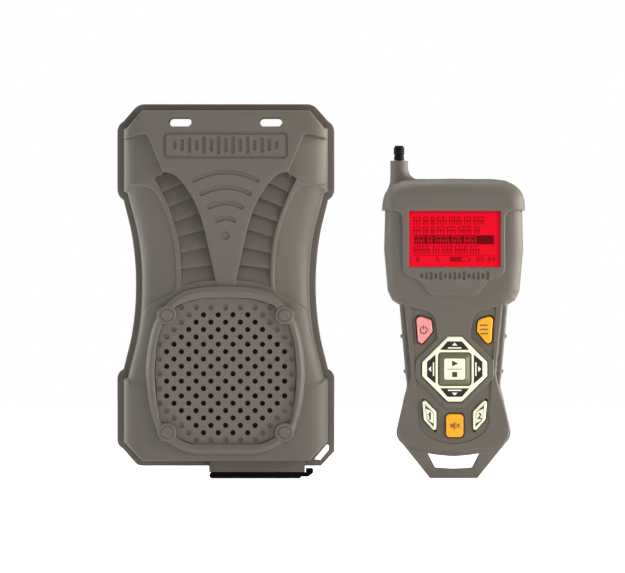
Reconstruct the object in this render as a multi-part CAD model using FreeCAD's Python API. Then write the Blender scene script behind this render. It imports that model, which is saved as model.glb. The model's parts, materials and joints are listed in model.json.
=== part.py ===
"""Electronic game caller: a loudspeaker unit and its hand-held remote, each piece as its own solid.

Frame, in millimetres: +X to the right seen from the front, +Y to the rear, +Z up.
The origin is on the caller's centre plane, at the ground, in the plane where its two shells part.
The remote is drawn about its own centre plane and then moved to REMOTE_X.
"""
import FreeCAD, Part
import math
import os

# ---------------------------------------------------------------- driving dimensions: caller
FLANGE_THICK = 3.0          # each shell's half of the flange
WALL = 3.0
PLATEAU_Y = -26.0           # general front surface
SCALLOP_Y = -23.5           # hollowed flanks beside the gills
PANEL_Y = -29.5             # raised badge panel
RIM_Y = -30.4               # crest of the rim round the grille
GRILLE_Y = -27.0
GRILLE_THICK = 2.5
GRILLE_GAP = 0.06
SEAT_Y = -23.0              # the grille's flange seats here, behind the rim
LEDGE_BACK_Y = -21.0        # back of the front wall, where the speaker clamps the grille's flange
SIDE_WIDE = 10.0            # the front's side edges roll over this far in and this deep
SIDE_DEEP = 7.0
CORNER_BOSS_R = 5.25
CAP_R = 3.15
CAP_WELL = 3.4              # depth of the well that holds a corner screw's head and its cap
FRONT_CAVITY_Y = -13.0      # where the front cavity steps in under the rolled edge
REAR_Y = 36.0
REAR_CAVITY_Y = 33.2
REAR_STEP_Y = 26.0
FLANGE_INSET = 3.5          # body edge inside the flange edge
SHELL_SCREWS = [(side * x, z) for side in (-1, 1) for x, z in ((44, 30), (37, 138), (43.5, 180))]
POST_R = 4.0
SCREW_R = 1.5
HEAD_R = 3.0

# hanging slots in the flange
SLOT_X = 25.0
SLOT_Z = 196.5
SLOT_LENGTH = 12.3
SLOT_WIDTH = 4.65

# loudspeaker
SPEAKER_Z = 57.8
SPEAKER_SCREW = 32.3        # half the pitch of the four corner screws
NUT_R = 3.1                 # half the width of a grille nut, across its corners
HOLE_PITCH = 4.065
HOLE_R = 1.45
HOLE_REACH = 75             # a hole is open where i*i + j*j is below this
WINDOW_R = 37.0
FRAME_HALF = 38.5
FRAME_Y = -20.2
GAP_R = 13.4                # magnet gap, outer wall
POLE_R = 12.0
MAGNET_R = 24.5

# amplifier board of the caller
BOARD_FRONT = -14.0
BOARD_BACK = BOARD_FRONT + 1.6
BOARD_SCREWS = [(x, z) for x in (-26, 26) for z in (118, 178)]
BOARD_SCREW_R = 1.3
BOARD_POST_R = 3.0

# battery bay of the caller
DOOR_HALF = 32.7
DOOR_TOP = 131.7
DOOR_THICK = 2.4
DOOR_HINGE_Z = 22.9
DOOR_HINGE_Y = REAR_Y - DOOR_THICK / 2
DOOR_GAP = 0.3
DOOR_SWING_GAP = 0.6        # below the hinge, so that the open door clears the shell
HINGE_PIN_R = 0.8
RUNNING = 0.05              # radial clearance of a pin that turns
TRAY_HALF = 31.6
TRAY_BOTTOM = 23.0
TRAY_TOP = 130.6
TRAY_FRONT = 14.0
TRAY_BACK = 33.0
TRAY_WALL = 1.4
CELL_R = 7.1
CELL_LENGTH = 49.0

# port bay in the base
BOSS_LEFT, BOSS_RIGHT = -9.2, 43.7
BOSS_FRONT, BOSS_BACK = -13.0, 17.0
BOSS_BOTTOM, BOSS_TOP = 3.3, 12.0
PORT_WALL = 3.0
PANEL_BOTTOM, PANEL_TOP = 8.6, 10.6
JACKS_X = (5.0, 18.0)
BUTTON_X = 32.0
PORT_MID_Y = 2.0
BUTTON_R = 4.4
COVER_THICK = 3.2
COVER_AXIS_X = -7.5

# ---------------------------------------------------------------- driving dimensions: remote
REMOTE_X = 125.9
FACE_X = 0.5                # display, pad and mute key sit this far right of the shell's centre
KEYPAD_Y = -13.0
HEAD_Y = -14.0
BEZEL_Y = -15.2
HOOD_Y = -17.0
REMOTE_REAR = 13.0
REMOTE_WALL = 2.2
REMOTE_INNER_Y = -11.0
REMOTE_REAR_INNER = 11.2
LOOP_TOP = 17.5             # the lanyard loop starts below this height
LOOP_THIN, LOOP_THICK = 6.5, 11.5
LCD_LEFT, LCD_RIGHT, LCD_BOTTOM, LCD_TOP = -24.7, 25.9, 116.6, 147.7
KEY_FRONT_Y = -14.7
KEY_BACK_Y = -10.6
KEY_GAP = 0.3
MEMBRANE_Y = -9.6
MEMBRANE_THICK = 0.6
BOARD_Y = -8.2
BOARD_THICK = 1.6
PAD_Z = 60.3
PAD_HALF = 17.9
PAD_FLAT = 3.9
SURROUND_HALF = 21.7
SELECT_HALF = 9.0
REMOTE_SCREWS = [(side * x, z) for side in (-1, 1) for x, z in ((22.5, 34), (23, 104))]
ANTENNA_X = -30.1
ANTENNA_Y = 5.0
ANTENNA_TOP = 175.5
ANTENNA_BOTTOM = 101.0
ANTENNA_TUBES = [(2.6, 2.3), (2.2, 1.9), (1.8, 1.5)]   # outer and inner radius of each tube
ANTENNA_ROD_R = 1.4
AAA_R = 5.15
REMOTE_DOOR_HALF = 17.3
REMOTE_DOOR_TOP = 89.8
REMOTE_DOOR_THICK = 1.8
REMOTE_HINGE_Z = 37.9
REMOTE_HINGE_Y = REMOTE_REAR - REMOTE_DOOR_THICK / 2
TRUNNION_R = 0.5

# corners of the left keys, from the middle of the face; the right ones mirror them
POWER_KEY = [(-21.3, 90.2), (-13.0, 87.5), (-12.1, 81.2), (-17.9, 74.2), (-20.2, 75.2)]
PRESET_KEY = [(-18.1, 44.8), (-10.1, 36.8), (-10.2, 24.8), (-17.0, 32.4)]
MUTE_CENTRE, MUTE_HALF = (0.5, 29.1), (4.8, 6.4)


# ---------------------------------------------------------------- drawing helpers
def vec(x, y, z):
    return FreeCAD.Vector(x, y, z)


def run_edges(start, steps):
    """Edges through the steps: a plain point is a straight run, ("arc", mid, end) an arc and
    ("curve", p, q, ...) a smooth curve."""
    here = vec(start[0], 0, start[1])
    edges = []
    for step in steps:
        if step[0] == "arc":
            mid = vec(step[1][0], 0, step[1][1])
            there = vec(step[2][0], 0, step[2][1])
            edges.append(Part.Arc(here, mid, there).toShape())
        elif step[0] == "curve":
            points = [here] + [vec(p[0], 0, p[1]) for p in step[1:]]
            there = points[-1]
            curve = Part.BSplineCurve()
            curve.interpolate(points)
            edges.append(curve.toShape())
        else:
            there = vec(step[0], 0, step[1])
            edges.append(Part.makeLine(here, there))
        here = there
    return edges


def closed(start, *steps):
    """A closed outline in the plane y = 0; a last straight run is added if the steps leave a gap."""
    last = steps[-1][-1] if isinstance(steps[-1][0], str) else steps[-1]
    if last != start:
        steps = steps + (start,)
    return Part.Wire(run_edges(start, steps))


def symmetric(start, *steps):
    """A closed outline from its right half, which starts and ends on the centre plane."""
    half = run_edges(start, steps)
    other = [edge.mirror(vec(0, 0, 0), vec(1, 0, 0)) for edge in half]
    return Part.Wire(Part.__sortEdges__(half + other))


def inset(wire, distance):
    """The outline moved inwards by the same distance all round."""
    return wire.makeOffset2D(-distance, 2, False, False, False)


def shrunk(wire, distance):
    """The outline scaled about its middle until it is smaller by the distance on each side."""
    box = wire.BoundBox
    matrix = FreeCAD.Matrix()
    matrix.move(vec(-box.Center.x, 0, -box.Center.z))
    matrix.scale(vec(1 - 2 * distance / box.XLength, 1, 1 - 2 * distance / box.ZLength))
    matrix.move(vec(box.Center.x, 0, box.Center.z))
    return wire.transformGeometry(matrix)


def moved(shape, x=0.0, y=0.0, z=0.0):
    copy = shape.copy()
    copy.translate(vec(x, y, z))
    return copy


def slab(wire, front, back):
    """The outline made solid between two depths."""
    return Part.Face(moved(wire, y=front)).extrude(vec(0, back - front, 0))


def taper(wire, stations, smaller=shrunk):
    """A solid through smaller copies of one outline: stations are (gap, y), in order along Y."""
    sections = [moved(smaller(wire, gap) if gap else wire, y=y) for gap, y in stations]
    return Part.makeLoft(sections, True, True)


def block(x0, x1, y0, y1, z0, z1):
    return Part.makeBox(x1 - x0, y1 - y0, z1 - z0, vec(x0, y0, z0))


def rod_y(radius, x, z, front, back):
    return Part.makeCylinder(radius, back - front, vec(x, front, z), vec(0, 1, 0))


def rod_z(radius, x, y, bottom, top):
    return Part.makeCylinder(radius, top - bottom, vec(x, y, bottom))


def rod_x(radius, y, z, left, right):
    return Part.makeCylinder(radius, right - left, vec(left, y, z), vec(1, 0, 0))


def ring_y(outer, inner, z, front, back):
    return rod_y(outer, 0, z, front, back).cut(rod_y(inner, 0, z, front, back))


def turned(points, z):
    """A solid of revolution about the speaker's axis, from (radius, y) points."""
    profile = [vec(r, y, z) for r, y in points]
    face = Part.Face(Part.makePolygon(profile + profile[:1]))
    return face.revolve(vec(0, 0, z), vec(0, 1, 0), 360)


def cable(points, radius):
    """A round lead along straight runs, rounded at each bend."""
    corners = [vec(*p) for p in points]
    pieces = [Part.makeSphere(radius, p) for p in corners]
    for a, b in zip(corners, corners[1:]):
        pieces.append(Part.makeCylinder(radius, a.distanceToPoint(b), a, b - a))
    return fused(pieces)


def fused(shapes):
    first, rest = shapes[0], shapes[1:]
    return first.multiFuse(rest).removeSplitter() if rest else first


def mirrored(shape):
    return shape.mirror(vec(0, 0, 0), vec(1, 0, 0))


def rounded_box_wire(x, z, half_x, half_z, radius):
    """A rectangle with round corners, centred at (x, z)."""
    k = radius * (1 - math.sqrt(0.5))
    left, right, low, high = x - half_x, x + half_x, z - half_z, z + half_z
    return closed(
        (left + radius, low),
        (right - radius, low), ("arc", (right - k, low + k), (right, low + radius)),
        (right, high - radius), ("arc", (right - k, high - k), (right - radius, high)),
        (left + radius, high), ("arc", (left + k, high - k), (left, high - radius)),
        (left, low + radius), ("arc", (left + k, low + k), (left + radius, low)),
    )


def slot_wire(x, z, length, width):
    """A slot with round ends, running along X."""
    reach, r = length / 2 - width / 2, width / 2
    return closed(
        (x - reach, z - r), (x + reach, z - r), ("arc", (x + reach + r, z), (x + reach, z + r)),
        (x - reach, z + r), ("arc", (x - reach - r, z), (x - reach, z - r)),
    )


def diamond_wire(x, z, half, flat):
    """A square on its corner with the corners cut off: eight sides."""
    return closed(
        (x + flat, z + half), (x + half, z + flat), (x + half, z - flat), (x + flat, z - half),
        (x - flat, z - half), (x - half, z - flat), (x - half, z + flat), (x - flat, z + half),
    )


def export(name, shape, x=0.0):
    """Writes one piece, as one solid or as a group of solids."""
    solids = [moved(s, x=x) for s in shape.Solids]
    assert solids and all(s.isValid() for s in solids), name
    result = solids[0] if len(solids) == 1 else Part.makeCompound(solids)
    result.exportStep(os.path.join("parts", name + ".step"))


# ---------------------------------------------------------------- caller outlines
def flange_wire():
    return symmetric(
        (0, 6.8), (46.3, 6.8), ("arc", (48.3, 7.2), (50.0, 8.4)), (56.9, 16.4),
        ("arc", (59.2, 18.4), (60, 21)), (60, 55.3),
        ("arc", (59.1, 58.1), (56.5, 60.3)), ("arc", (49.7, 107), (56.5, 153.6)),
        ("arc", (59.1, 156.2), (60, 159.3)), (60, 191.9), ("arc", (59.0, 194.9), (56.5, 197.3)),
        (51.0, 203.6), ("arc", (48.3, 205.9), (45.0, 206.7)), (0, 206.7),
    )


def body_wire():
    return symmetric(
        (0, 9.4), (46.1, 9.4), (56.4, 20.2), (56.4, 54.9), (54.1, 55.8),
        ("arc", (46.3, 107), (54.3, 157.3)), (56.4, 158.3), (56.4, 191.9), (46.3, 203.2), (0, 203.2),
    )


def side_wire():
    """The body's sides without its chamfers, run on above and below.

    The front edge rolls over along this line.
    """
    return symmetric(
        (0, -40), (56.4, -40), (56.4, 54.9), (54.1, 55.8),
        ("arc", (46.3, 107), (54.3, 157.3)), (56.4, 158.3), (56.4, 250), (0, 250),
    )


def lanyard_ear():
    """The lower right corner of the flange, filled out to carry the lanyard slot."""
    return closed((46, 6.8), (52.6, 6.8), (60, 14.9), (60, 24), (50, 24))


def lanyard_slot():
    return closed((48.9, 10.4), (52.2, 10.0), (56.9, 15.5), (56.9, 18.0), (55.8, 18.7))


def rim_wire():
    return symmetric(
        (0, 13.05), (16.0, 13.05),
        ("curve", (24.9, 15.3), (37.6, 25.8), (42.6, 41.5), (44.2, 60.0), (41.5, 79.8), (35.4, 93.0),
         (29.0, 99.8), (21.9, 104.0)),
        (0, 106.5),
    )


def grille_wire():
    return symmetric(
        (0, 19.0), (17.3, 19.0), ("curve", (27.0, 22.9), (35.0, 29.9), (37.6, 39.4), (38.9, 57)),
        (37.7, 74.4), (35.0, 84.4), (28.1, 93.8), (23.2, 96.6), (14.1, 99.0), (0, 99.7),
    )


def badge_panel_wire():
    """The raised panel: full width at the shoulders, narrowing to a V over the speaker."""
    return symmetric(
        (0, 104), (4.6, 104), ("curve", (9.9, 128.4), (14.7, 146.6), (20.7, 158.5), (27.8, 167.0)),
        (34.6, 168.9), (44.3, 189.8), (60, 186), (60, 210), (0, 210),
    )


def gill_bay_wire():
    """The bay beside the V that holds the louvres, on the left."""
    return closed(
        (-39.1, 165.7), ("curve", (-31.4, 149.7), (-26.4, 133.2), (-24.7, 115.5), (-24.7, 105.6)),
        (-4.4, 109.4), ("curve", (-9.2, 128.4), (-14.0, 146.8), (-20.0, 158.9), (-27.3, 167.8)),
        (-33.3, 169.4),
    )


GILLS = [   # outer end and inner end of each louvre's top edge, on the left, top to bottom
    ((-39.1, 165.7), (-33.3, 168.4)),
    ((-35.0, 157.8), (-24.5, 162.7)),
    ((-31.4, 149.7), (-18.6, 154.8)),
    ((-28.6, 141.5), (-14.7, 146.2)),
    ((-26.4, 133.2), (-11.9, 137.1)),
    ((-25.2, 124.3), (-9.6, 127.5)),
    ((-24.7, 115.5), (-7.5, 117.7)),
    ((-24.7, 106.6), (-5.8, 109.4)),
]


def scallop_wire():
    """The lowest flank, between the rail beside the gills and the caller's edge, on the left."""
    return closed(
        (-60, 162.0), (-56.2, 161.8), ("curve", (-44.8, 160.5), (-38.0, 156.8)),
        ("curve", (-31.2, 141.1), (-27.8, 124.1), (-27.2, 107.2)),
        ("curve", (-29.3, 102.6), (-35.4, 99.6)), ("curve", (-40.8, 96.6), (-45.4, 92.5), (-47.2, 83.0)),
        (-54.1, 55.9), (-60, 55.9),
    )


# ---------------------------------------------------------------- caller shells
def rolled(wire, end, deep, wide, steps):
    """The outline made solid from y = 0 to its end, with the edge rolled over in a quarter ellipse."""
    towards = 1 if end > 0 else -1
    stations = [(0, 0)]
    for k in range(steps + 1):
        turn = math.pi / 2 * k / steps
        stations.append((wide * (1 - math.cos(turn)), end - towards * deep * (1 - math.sin(turn))))
    return taper(wire, stations, inset)


def rolled_front(front):
    """The front body up to one level, with its two sides rolled over."""
    return rolled(side_wire(), front, SIDE_DEEP, SIDE_WIDE, 4).common(slab(body_wire(), front, 0))


def gill(top, bottom):
    """One louvre: deep along its top edge, rising to its lower edge."""
    deep, high, root = PLATEAU_Y + 1.2, PLATEAU_Y - 2.2, LEDGE_BACK_Y - 1
    sections = []
    for (outer, inner), level in ((top, deep), (bottom, high)):
        corners = [vec(outer[0], root, outer[1]), vec(inner[0], root, inner[1])]
        corners += [vec(inner[0], level, inner[1]), vec(outer[0], level, outer[1])]
        sections.append(Part.makePolygon(corners + corners[:1]))
    return Part.makeLoft(sections, True, True)


def gills():
    left = [gill(a, b) for a, b in zip(GILLS, GILLS[1:])]
    return left + [mirrored(g) for g in left]


def rim():
    """The raised rim round the grille, with a ridge along its crest."""
    outer = taper(rim_wire(), [(0, PLATEAU_Y + 1), (0, PLATEAU_Y), (2.8, RIM_Y)])
    inner = taper(grille_wire(), [(0, GRILLE_Y - 0.6), (-2.6, RIM_Y - 0.01)])
    return outer.cut(inner)


def front_outside():
    scallop = slab(scallop_wire(), PANEL_Y, 0)
    bay = slab(gill_bay_wire(), PANEL_Y - 5, PLATEAU_Y + 1.8)
    plateau = rolled_front(PLATEAU_Y)
    for cutter in (scallop, mirrored(scallop)):
        plateau = plateau.cut(cutter)
    panel = rolled_front(PANEL_Y).common(slab(badge_panel_wire(), PANEL_Y - 1, SCALLOP_Y + 2))
    body = fused([rolled_front(SCALLOP_Y), plateau, panel])
    body = body.cut(bay).cut(mirrored(bay))
    return fused([body, rim()] + gills())


def flange(front, back):
    return fused([slab(flange_wire(), front, back), slab(lanyard_ear(), front, back)])


def hanging_slots(front, back, grow=0.0):
    """The two hanging slots, or with grow the tunnels that carry them through the hollow shells."""
    return [slab(slot_wire(side * SLOT_X, SLOT_Z, SLOT_LENGTH + grow, SLOT_WIDTH + grow), front, back)
            for side in (-1, 1)]


def port_cut():
    """The port bay: recess, the panel's seat, and room for the jacks above it."""
    return [
        block(BOSS_LEFT + PORT_WALL, BOSS_RIGHT - PORT_WALL, BOSS_FRONT + PORT_WALL,
              BOSS_BACK - PORT_WALL, 0, PANEL_BOTTOM),
        port_seat(),
        block(BOSS_LEFT + 5, BOSS_RIGHT - 5, BOSS_FRONT + 5, BOSS_BACK - 5, PANEL_TOP, BOSS_TOP + 1),
    ]


def port_seat():
    return block(BOSS_LEFT + 2, BOSS_RIGHT - 2, BOSS_FRONT + 2, BOSS_BACK - 2, PANEL_BOTTOM, PANEL_TOP)


def gasket_ring():
    """Rubber cord between the shells, left open where the port bay crosses it."""
    wire = body_wire()
    ring = slab(inset(wire, 0.6), -0.8, 0.8).cut(slab(inset(wire, 2.0), -0.8, 0.8))
    return ring.cut(block(BOSS_LEFT - 0.5, BOSS_RIGHT + 0.5, -1, 1, 0, BOSS_TOP + 1))


def front_shell():
    """Front shell: sculpted face, hollow inside, with screw posts and board posts."""
    wire = body_wire()
    boss = block(BOSS_LEFT, BOSS_RIGHT, BOSS_FRONT, 0, BOSS_BOTTOM, BOSS_TOP)
    shell = fused([front_outside(), flange(-FLANGE_THICK, 0), boss])
    hollow = [
        slab(inset(wire, WALL), FRONT_CAVITY_Y, 0),
        slab(inset(wire, 8.0), LEDGE_BACK_Y, FRONT_CAVITY_Y),
        slab(closed((-28, 184), (-17, 150), (-6, 118), (6, 118), (17, 150), (28, 184)),
             PANEL_Y + 2.8, LEDGE_BACK_Y),
    ]
    shell = shell.cut(fused(hollow))
    shell = shell.cut(slab(grille_wire(), RIM_Y - 1, SEAT_Y)).cut(slab(seat_wire(), SEAT_Y, LEDGE_BACK_Y))
    posts = [rod_y(POST_R, x, z, LEDGE_BACK_Y, 0) for x, z in SHELL_SCREWS]
    posts += [rod_y(BOARD_POST_R, x, z, LEDGE_BACK_Y, BOARD_FRONT) for x, z in BOARD_SCREWS]
    posts += [rod_y(CORNER_BOSS_R, x, z, RIM_Y, SEAT_Y) for x, z in speaker_corners()]
    shell = fused([shell] + posts + hanging_slots(SCALLOP_Y, 0, 4.0))
    cutters = [rod_y(SCREW_R, x, z, -11, 0) for x, z in SHELL_SCREWS]
    cutters += [rod_y(BOARD_SCREW_R, x, z, BOARD_FRONT - 6, BOARD_FRONT) for x, z in BOARD_SCREWS]
    cutters += [rod_y(SCREW_R + 0.1, x, z, RIM_Y, SEAT_Y) for x, z in speaker_corners()]
    cutters += [rod_y(CAP_R, x, z, RIM_Y, RIM_Y + CAP_WELL) for x, z in speaker_corners()]
    cutters += hanging_slots(RIM_Y, 0) + port_cut() + [slab(lanyard_slot(), RIM_Y, 0), gasket_ring()]
    return shell.cut(Part.makeCompound(cutters))


def rear_shell():
    """Rear shell: hollow, with long screw posts and the opening of the battery bay."""
    wire = body_wire()
    outside = rolled(body_wire(), REAR_Y, 12, 8, 7)
    boss = block(BOSS_LEFT, BOSS_RIGHT, 0, BOSS_BACK, BOSS_BOTTOM, BOSS_TOP)
    shell = fused([outside, flange(0, FLANGE_THICK), boss])
    hollow = [slab(inset(wire, WALL), 0, REAR_STEP_Y), slab(inset(wire, 9.0), REAR_STEP_Y, REAR_CAVITY_Y)]
    shell = shell.cut(fused(hollow))
    posts = [rod_y(POST_R, x, z, 0, REAR_CAVITY_Y) for x, z in SHELL_SCREWS]
    tunnels = [tunnel.common(outside) for tunnel in hanging_slots(0, REAR_Y, 4.0)]
    shell = fused([shell] + posts + tunnels)
    cutters = [rod_y(SCREW_R + 0.1, x, z, 0, 4) for x, z in SHELL_SCREWS]
    cutters += [rod_y(HEAD_R + 0.3, x, z, 4, REAR_Y) for x, z in SHELL_SCREWS]
    cutters.append(block(-DOOR_HALF - DOOR_GAP, DOOR_HALF + DOOR_GAP, REAR_CAVITY_Y - 0.2, REAR_Y + 1,
                         DOOR_HINGE_Z - DOOR_THICK / 2 - DOOR_SWING_GAP, DOOR_TOP + DOOR_GAP))
    cutters += [rod_x(HINGE_PIN_R, DOOR_HINGE_Y, DOOR_HINGE_Z, -DOOR_HALF - 1.5, DOOR_HALF + 1.5)]
    cutters += hanging_slots(0, REAR_Y) + port_cut() + [slab(lanyard_slot(), 0, REAR_Y), gasket_ring()]
    return shell.cut(Part.makeCompound(cutters))


def shell_screws():
    """Six long-post screws: head at the bottom of the rear post, thread in the front post."""
    screws = []
    for x, z in SHELL_SCREWS:
        head = rod_y(HEAD_R, x, z, 4, 6.4).cut(cross_recess(x, z, 5.4, 6.4, 1.8))
        screws.append(fused([head, rod_y(SCREW_R, x, z, -9, 4)]))
    return Part.makeCompound(screws)


def cross_recess(x, z, front, back, reach):
    """A cross-head recess."""
    width = reach / 5
    return fused([
        block(x - reach, x + reach, front, back, z - width, z + width),
        block(x - width, x + width, front, back, z - reach, z + reach),
    ])


# ---------------------------------------------------------------- grille and speaker
def speaker_corners():
    return [(sx * SPEAKER_SCREW, SPEAKER_Z + sz * SPEAKER_SCREW) for sx in (-1, 1) for sz in (-1, 1)]


def seat_wire(gap=0.0):
    """Outline of the seat behind the rim; with a gap, of the grille's flange that lies in it."""
    return rounded_box_wire(0, 58.6, 40.5 - gap, 41.6 - gap, 10)


def grille():
    """Perforated grille: open holes in a round field, blind dimples round them, flange behind."""
    back = GRILLE_Y + GRILLE_THICK
    face = slab(shrunk(grille_wire(), GRILLE_GAP), GRILLE_Y, SEAT_Y)
    for x, z in speaker_corners():
        face = face.cut(rod_y(CORNER_BOSS_R + GRILLE_GAP, x, z, GRILLE_Y, SEAT_Y))
    plate = fused([face, slab(seat_wire(0.2), SEAT_Y, LEDGE_BACK_Y)])
    plate = plate.cut(rod_y(WINDOW_R, 0, SPEAKER_Z, back, LEDGE_BACK_Y))
    cutters = []
    for i, j in hole_grid():
        x, z = i * HOLE_PITCH, SPEAKER_Z + j * HOLE_PITCH
        depth = back if i * i + j * j < HOLE_REACH else GRILLE_Y + 1.0
        cutters.append(rod_y(HOLE_R, x, z, GRILLE_Y, depth))
    cutters += [rod_y(SCREW_R + 0.1, x, z, SEAT_Y, LEDGE_BACK_Y) for x, z in speaker_corners()]
    return plate.cut(Part.makeCompound(cutters))


def hole_grid():
    """Column and row numbers of every hole and dimple, in a chequered grid."""
    corner = SPEAKER_SCREW / HOLE_PITCH
    cells = []
    for i in range(-9, 10):
        for j in range(-9, 10):
            beside_screw = math.hypot(abs(i) - corner, abs(j) - corner) < 1.75
            far_corner = abs(i) + abs(j) > 13 and not (j == 9 and abs(i) == 6)
            if (i + j) % 2 and not beside_screw and not far_corner:
                cells.append((i, j))
    return cells


def grille_screws():
    """Four screws that clamp the front wall, the grille's flange and the speaker together."""
    top = RIM_Y + CAP_WELL
    screws = []
    for x, z in speaker_corners():
        head = rod_y(HEAD_R, x, z, top - 1.8, top)
        screws.append(fused([head, rod_y(SCREW_R, x, z, top, -15)]))
    return Part.makeCompound(screws)


def screw_caps():
    """Push-in caps that hide the four corner screws."""
    caps = []
    for x, z in speaker_corners():
        plug = rod_y(CAP_R, x, z, RIM_Y - 0.3, RIM_Y + 1.5)
        crown = Part.makeCone(CAP_R - 0.5, CAP_R, 0.5, vec(x, RIM_Y - 0.8, z), vec(0, 1, 0))
        caps.append(fused([plug, crown]))
    return Part.makeCompound(caps)


def grille_nuts():
    nuts = []
    for x, z in speaker_corners():
        turns = [k * math.pi / 3 for k in range(6)]
        hexagon = [(x + NUT_R * math.cos(a), z + NUT_R * math.sin(a)) for a in turns]
        nut = slab(closed(hexagon[0], *hexagon[1:]), FRAME_Y + 1.5, FRAME_Y + 3.9)
        nuts.append(nut.cut(rod_y(SCREW_R, x, z, FRAME_Y, 0)))
    return Part.makeCompound(nuts)


def grille_cloth():
    back = GRILLE_Y + GRILLE_THICK
    return rod_y(WINDOW_R - 0.2, 0, SPEAKER_Z, back, back + 0.4)


def speaker_gasket():
    return ring_y(38.2, 36.3, SPEAKER_Z, LEDGE_BACK_Y, FRAME_Y)


def speaker_frame():
    """Pressed basket: square flange, sloping wall with four windows, spider ledge and back ring."""
    flange_plate = slab(rounded_box_wire(0, SPEAKER_Z, FRAME_HALF, FRAME_HALF, 6), FRAME_Y, FRAME_Y + 1.5)
    flange_plate = flange_plate.cut(rod_y(35.4, 0, SPEAKER_Z, FRAME_Y, FRAME_Y + 1.5))
    wall = turned([(36.6, FRAME_Y + 1.4), (25.0, -2.5), (GAP_R + 0.6, -2.5), (GAP_R + 0.6, -4.0),
                   (24.0, -4.0), (25.2, -6.2), (23.5, -6.2), (23.5, -7.6), (26.3, -7.6),
                   (35.0, FRAME_Y + 1.4)], SPEAKER_Z)
    windows = []
    for quarter in range(4):
        window = block(-11, 11, -16.5, -9.0, SPEAKER_Z + 20, SPEAKER_Z + 40)
        window.rotate(vec(0, 0, SPEAKER_Z), vec(0, 1, 0), 90 * quarter)
        windows.append(window)
    frame = fused([flange_plate, wall]).cut(Part.makeCompound(windows))
    holes = [rod_y(SCREW_R + 0.1, x, z, FRAME_Y, FRAME_Y + 1.5) for x, z in speaker_corners()]
    return frame.cut(Part.makeCompound(holes))


def speaker_top_plate():
    return ring_y(22.5, GAP_R, SPEAKER_Z, -2.5, 0.5)


def speaker_magnet():
    return ring_y(MAGNET_R, 15.2, SPEAKER_Z, 0.5, 7.5)


def speaker_yoke():
    profile = [(0, -2.5), (POLE_R, -2.5), (POLE_R, 7.5), (22.5, 7.5), (21.5, 10.5), (0, 10.5)]
    return turned(profile, SPEAKER_Z)


def voice_coil():
    """Coil former with its winding, hanging in the magnet gap."""
    return turned([(12.3, -11), (12.75, -11), (12.75, -1.5), (13.15, -1.5), (13.15, 2.5), (12.3, 2.5)],
                  SPEAKER_Z)


def speaker_cone():
    return turned([(30.4, -20.2), (12.75, -9.9), (12.75, -9.3), (30.4, -19.6)], SPEAKER_Z)


def dust_cap():
    """A shallow dome that closes the middle of the cone."""
    radius, edge = 17.0, 14.0
    centre = -11.0 + math.sqrt(radius ** 2 - edge ** 2)
    ball = Part.makeSphere(radius, vec(0, centre, SPEAKER_Z))
    hollow = Part.makeSphere(radius - 0.5, vec(0, centre, SPEAKER_Z))
    return ball.cut(hollow).common(rod_y(edge, 0, SPEAKER_Z, -20, -11.4))


def speaker_surround():
    """Half-roll rubber edge between the cone and the flange."""
    steps, mid, rise, thick = 12, 33.2, 2.0, 0.4
    top_y, under_y = FRAME_Y - thick, FRAME_Y - 0.02
    turns = [math.pi * k / steps for k in range(steps + 1)]
    top = [(mid - 2.2 * math.cos(a), top_y - rise * math.sin(a)) for a in turns]
    under = [(mid + 1.8 * math.cos(a), under_y - (rise - thick) * math.sin(a)) for a in turns]
    outer, inner = [(36.0, top_y), (36.0, under_y)], [(29.6, under_y)]
    return turned([(29.6, top_y)] + top + outer + under + inner, SPEAKER_Z)


def speaker_spider():
    """Corrugated disc that centres the coil."""
    waves, inner, outer, thick = 8, 12.85, 26.0, 0.35
    radii = [inner + (outer - inner) * k / waves for k in range(waves + 1)]
    crest = [-7.6 - thick - (0.9 if k % 2 else 0.0) for k in range(waves + 1)]
    upper = list(zip(radii, crest))
    lower = [(r, y + thick) for r, y in reversed(upper)]
    return turned(upper + lower, SPEAKER_Z)


# ---------------------------------------------------------------- caller electronics
def amplifier_board():
    board = block(-31, 31, BOARD_FRONT, BOARD_BACK, 112.5, 184)
    holes = [rod_y(BOARD_SCREW_R, x, z, BOARD_FRONT, BOARD_BACK) for x, z in BOARD_SCREWS]
    return board.cut(Part.makeCompound(holes))


def board_screws():
    screws = []
    for x, z in BOARD_SCREWS:
        head = rod_y(2.6, x, z, BOARD_BACK, BOARD_BACK + 1.8)
        screws.append(fused([head, rod_y(BOARD_SCREW_R, x, z, BOARD_FRONT - 5, BOARD_BACK)]))
    return Part.makeCompound(screws)


def board_components():
    """Heat sink, amplifier chips, receiver can and capacitors, standing on the board's back."""
    lefts = [-20 + 5 * k for k in range(9)]
    fins = [block(x, x + 1.5, BOARD_BACK + 2, BOARD_BACK + 10, 150, 172) for x in lefts]
    sink = fused([block(-21, 22, BOARD_BACK, BOARD_BACK + 2, 150, 172)] + fins)
    cans = [rod_y(4.5, -14 + 12 * k, 126, BOARD_BACK, BOARD_BACK + 11) for k in range(3)]
    receiver = block(-12, 12, BOARD_BACK, BOARD_BACK + 3.4, 135, 147)
    chips = [block(x, x + 8, BOARD_BACK, BOARD_BACK + 1.6, 175, 182) for x in (-18, -4, 10)]
    return Part.makeCompound([sink, receiver] + cans + chips)


def receiver_aerial():
    return cable([(14, -9.6, 142), (34, -8, 142), (36, 6, 150), (36, 6, 184), (-14, 6, 189)], 0.7)


def speaker_leads():
    leads = []
    for x in (-5, 5):
        path = [(x, BOARD_BACK + 0.8, 114.5), (x, -6, 108), (x * 0.6, -7.5, 97), (x * 0.6, -8.5, 90.6)]
        leads.append(cable(path, 0.8))
    return Part.makeCompound(leads)


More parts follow.
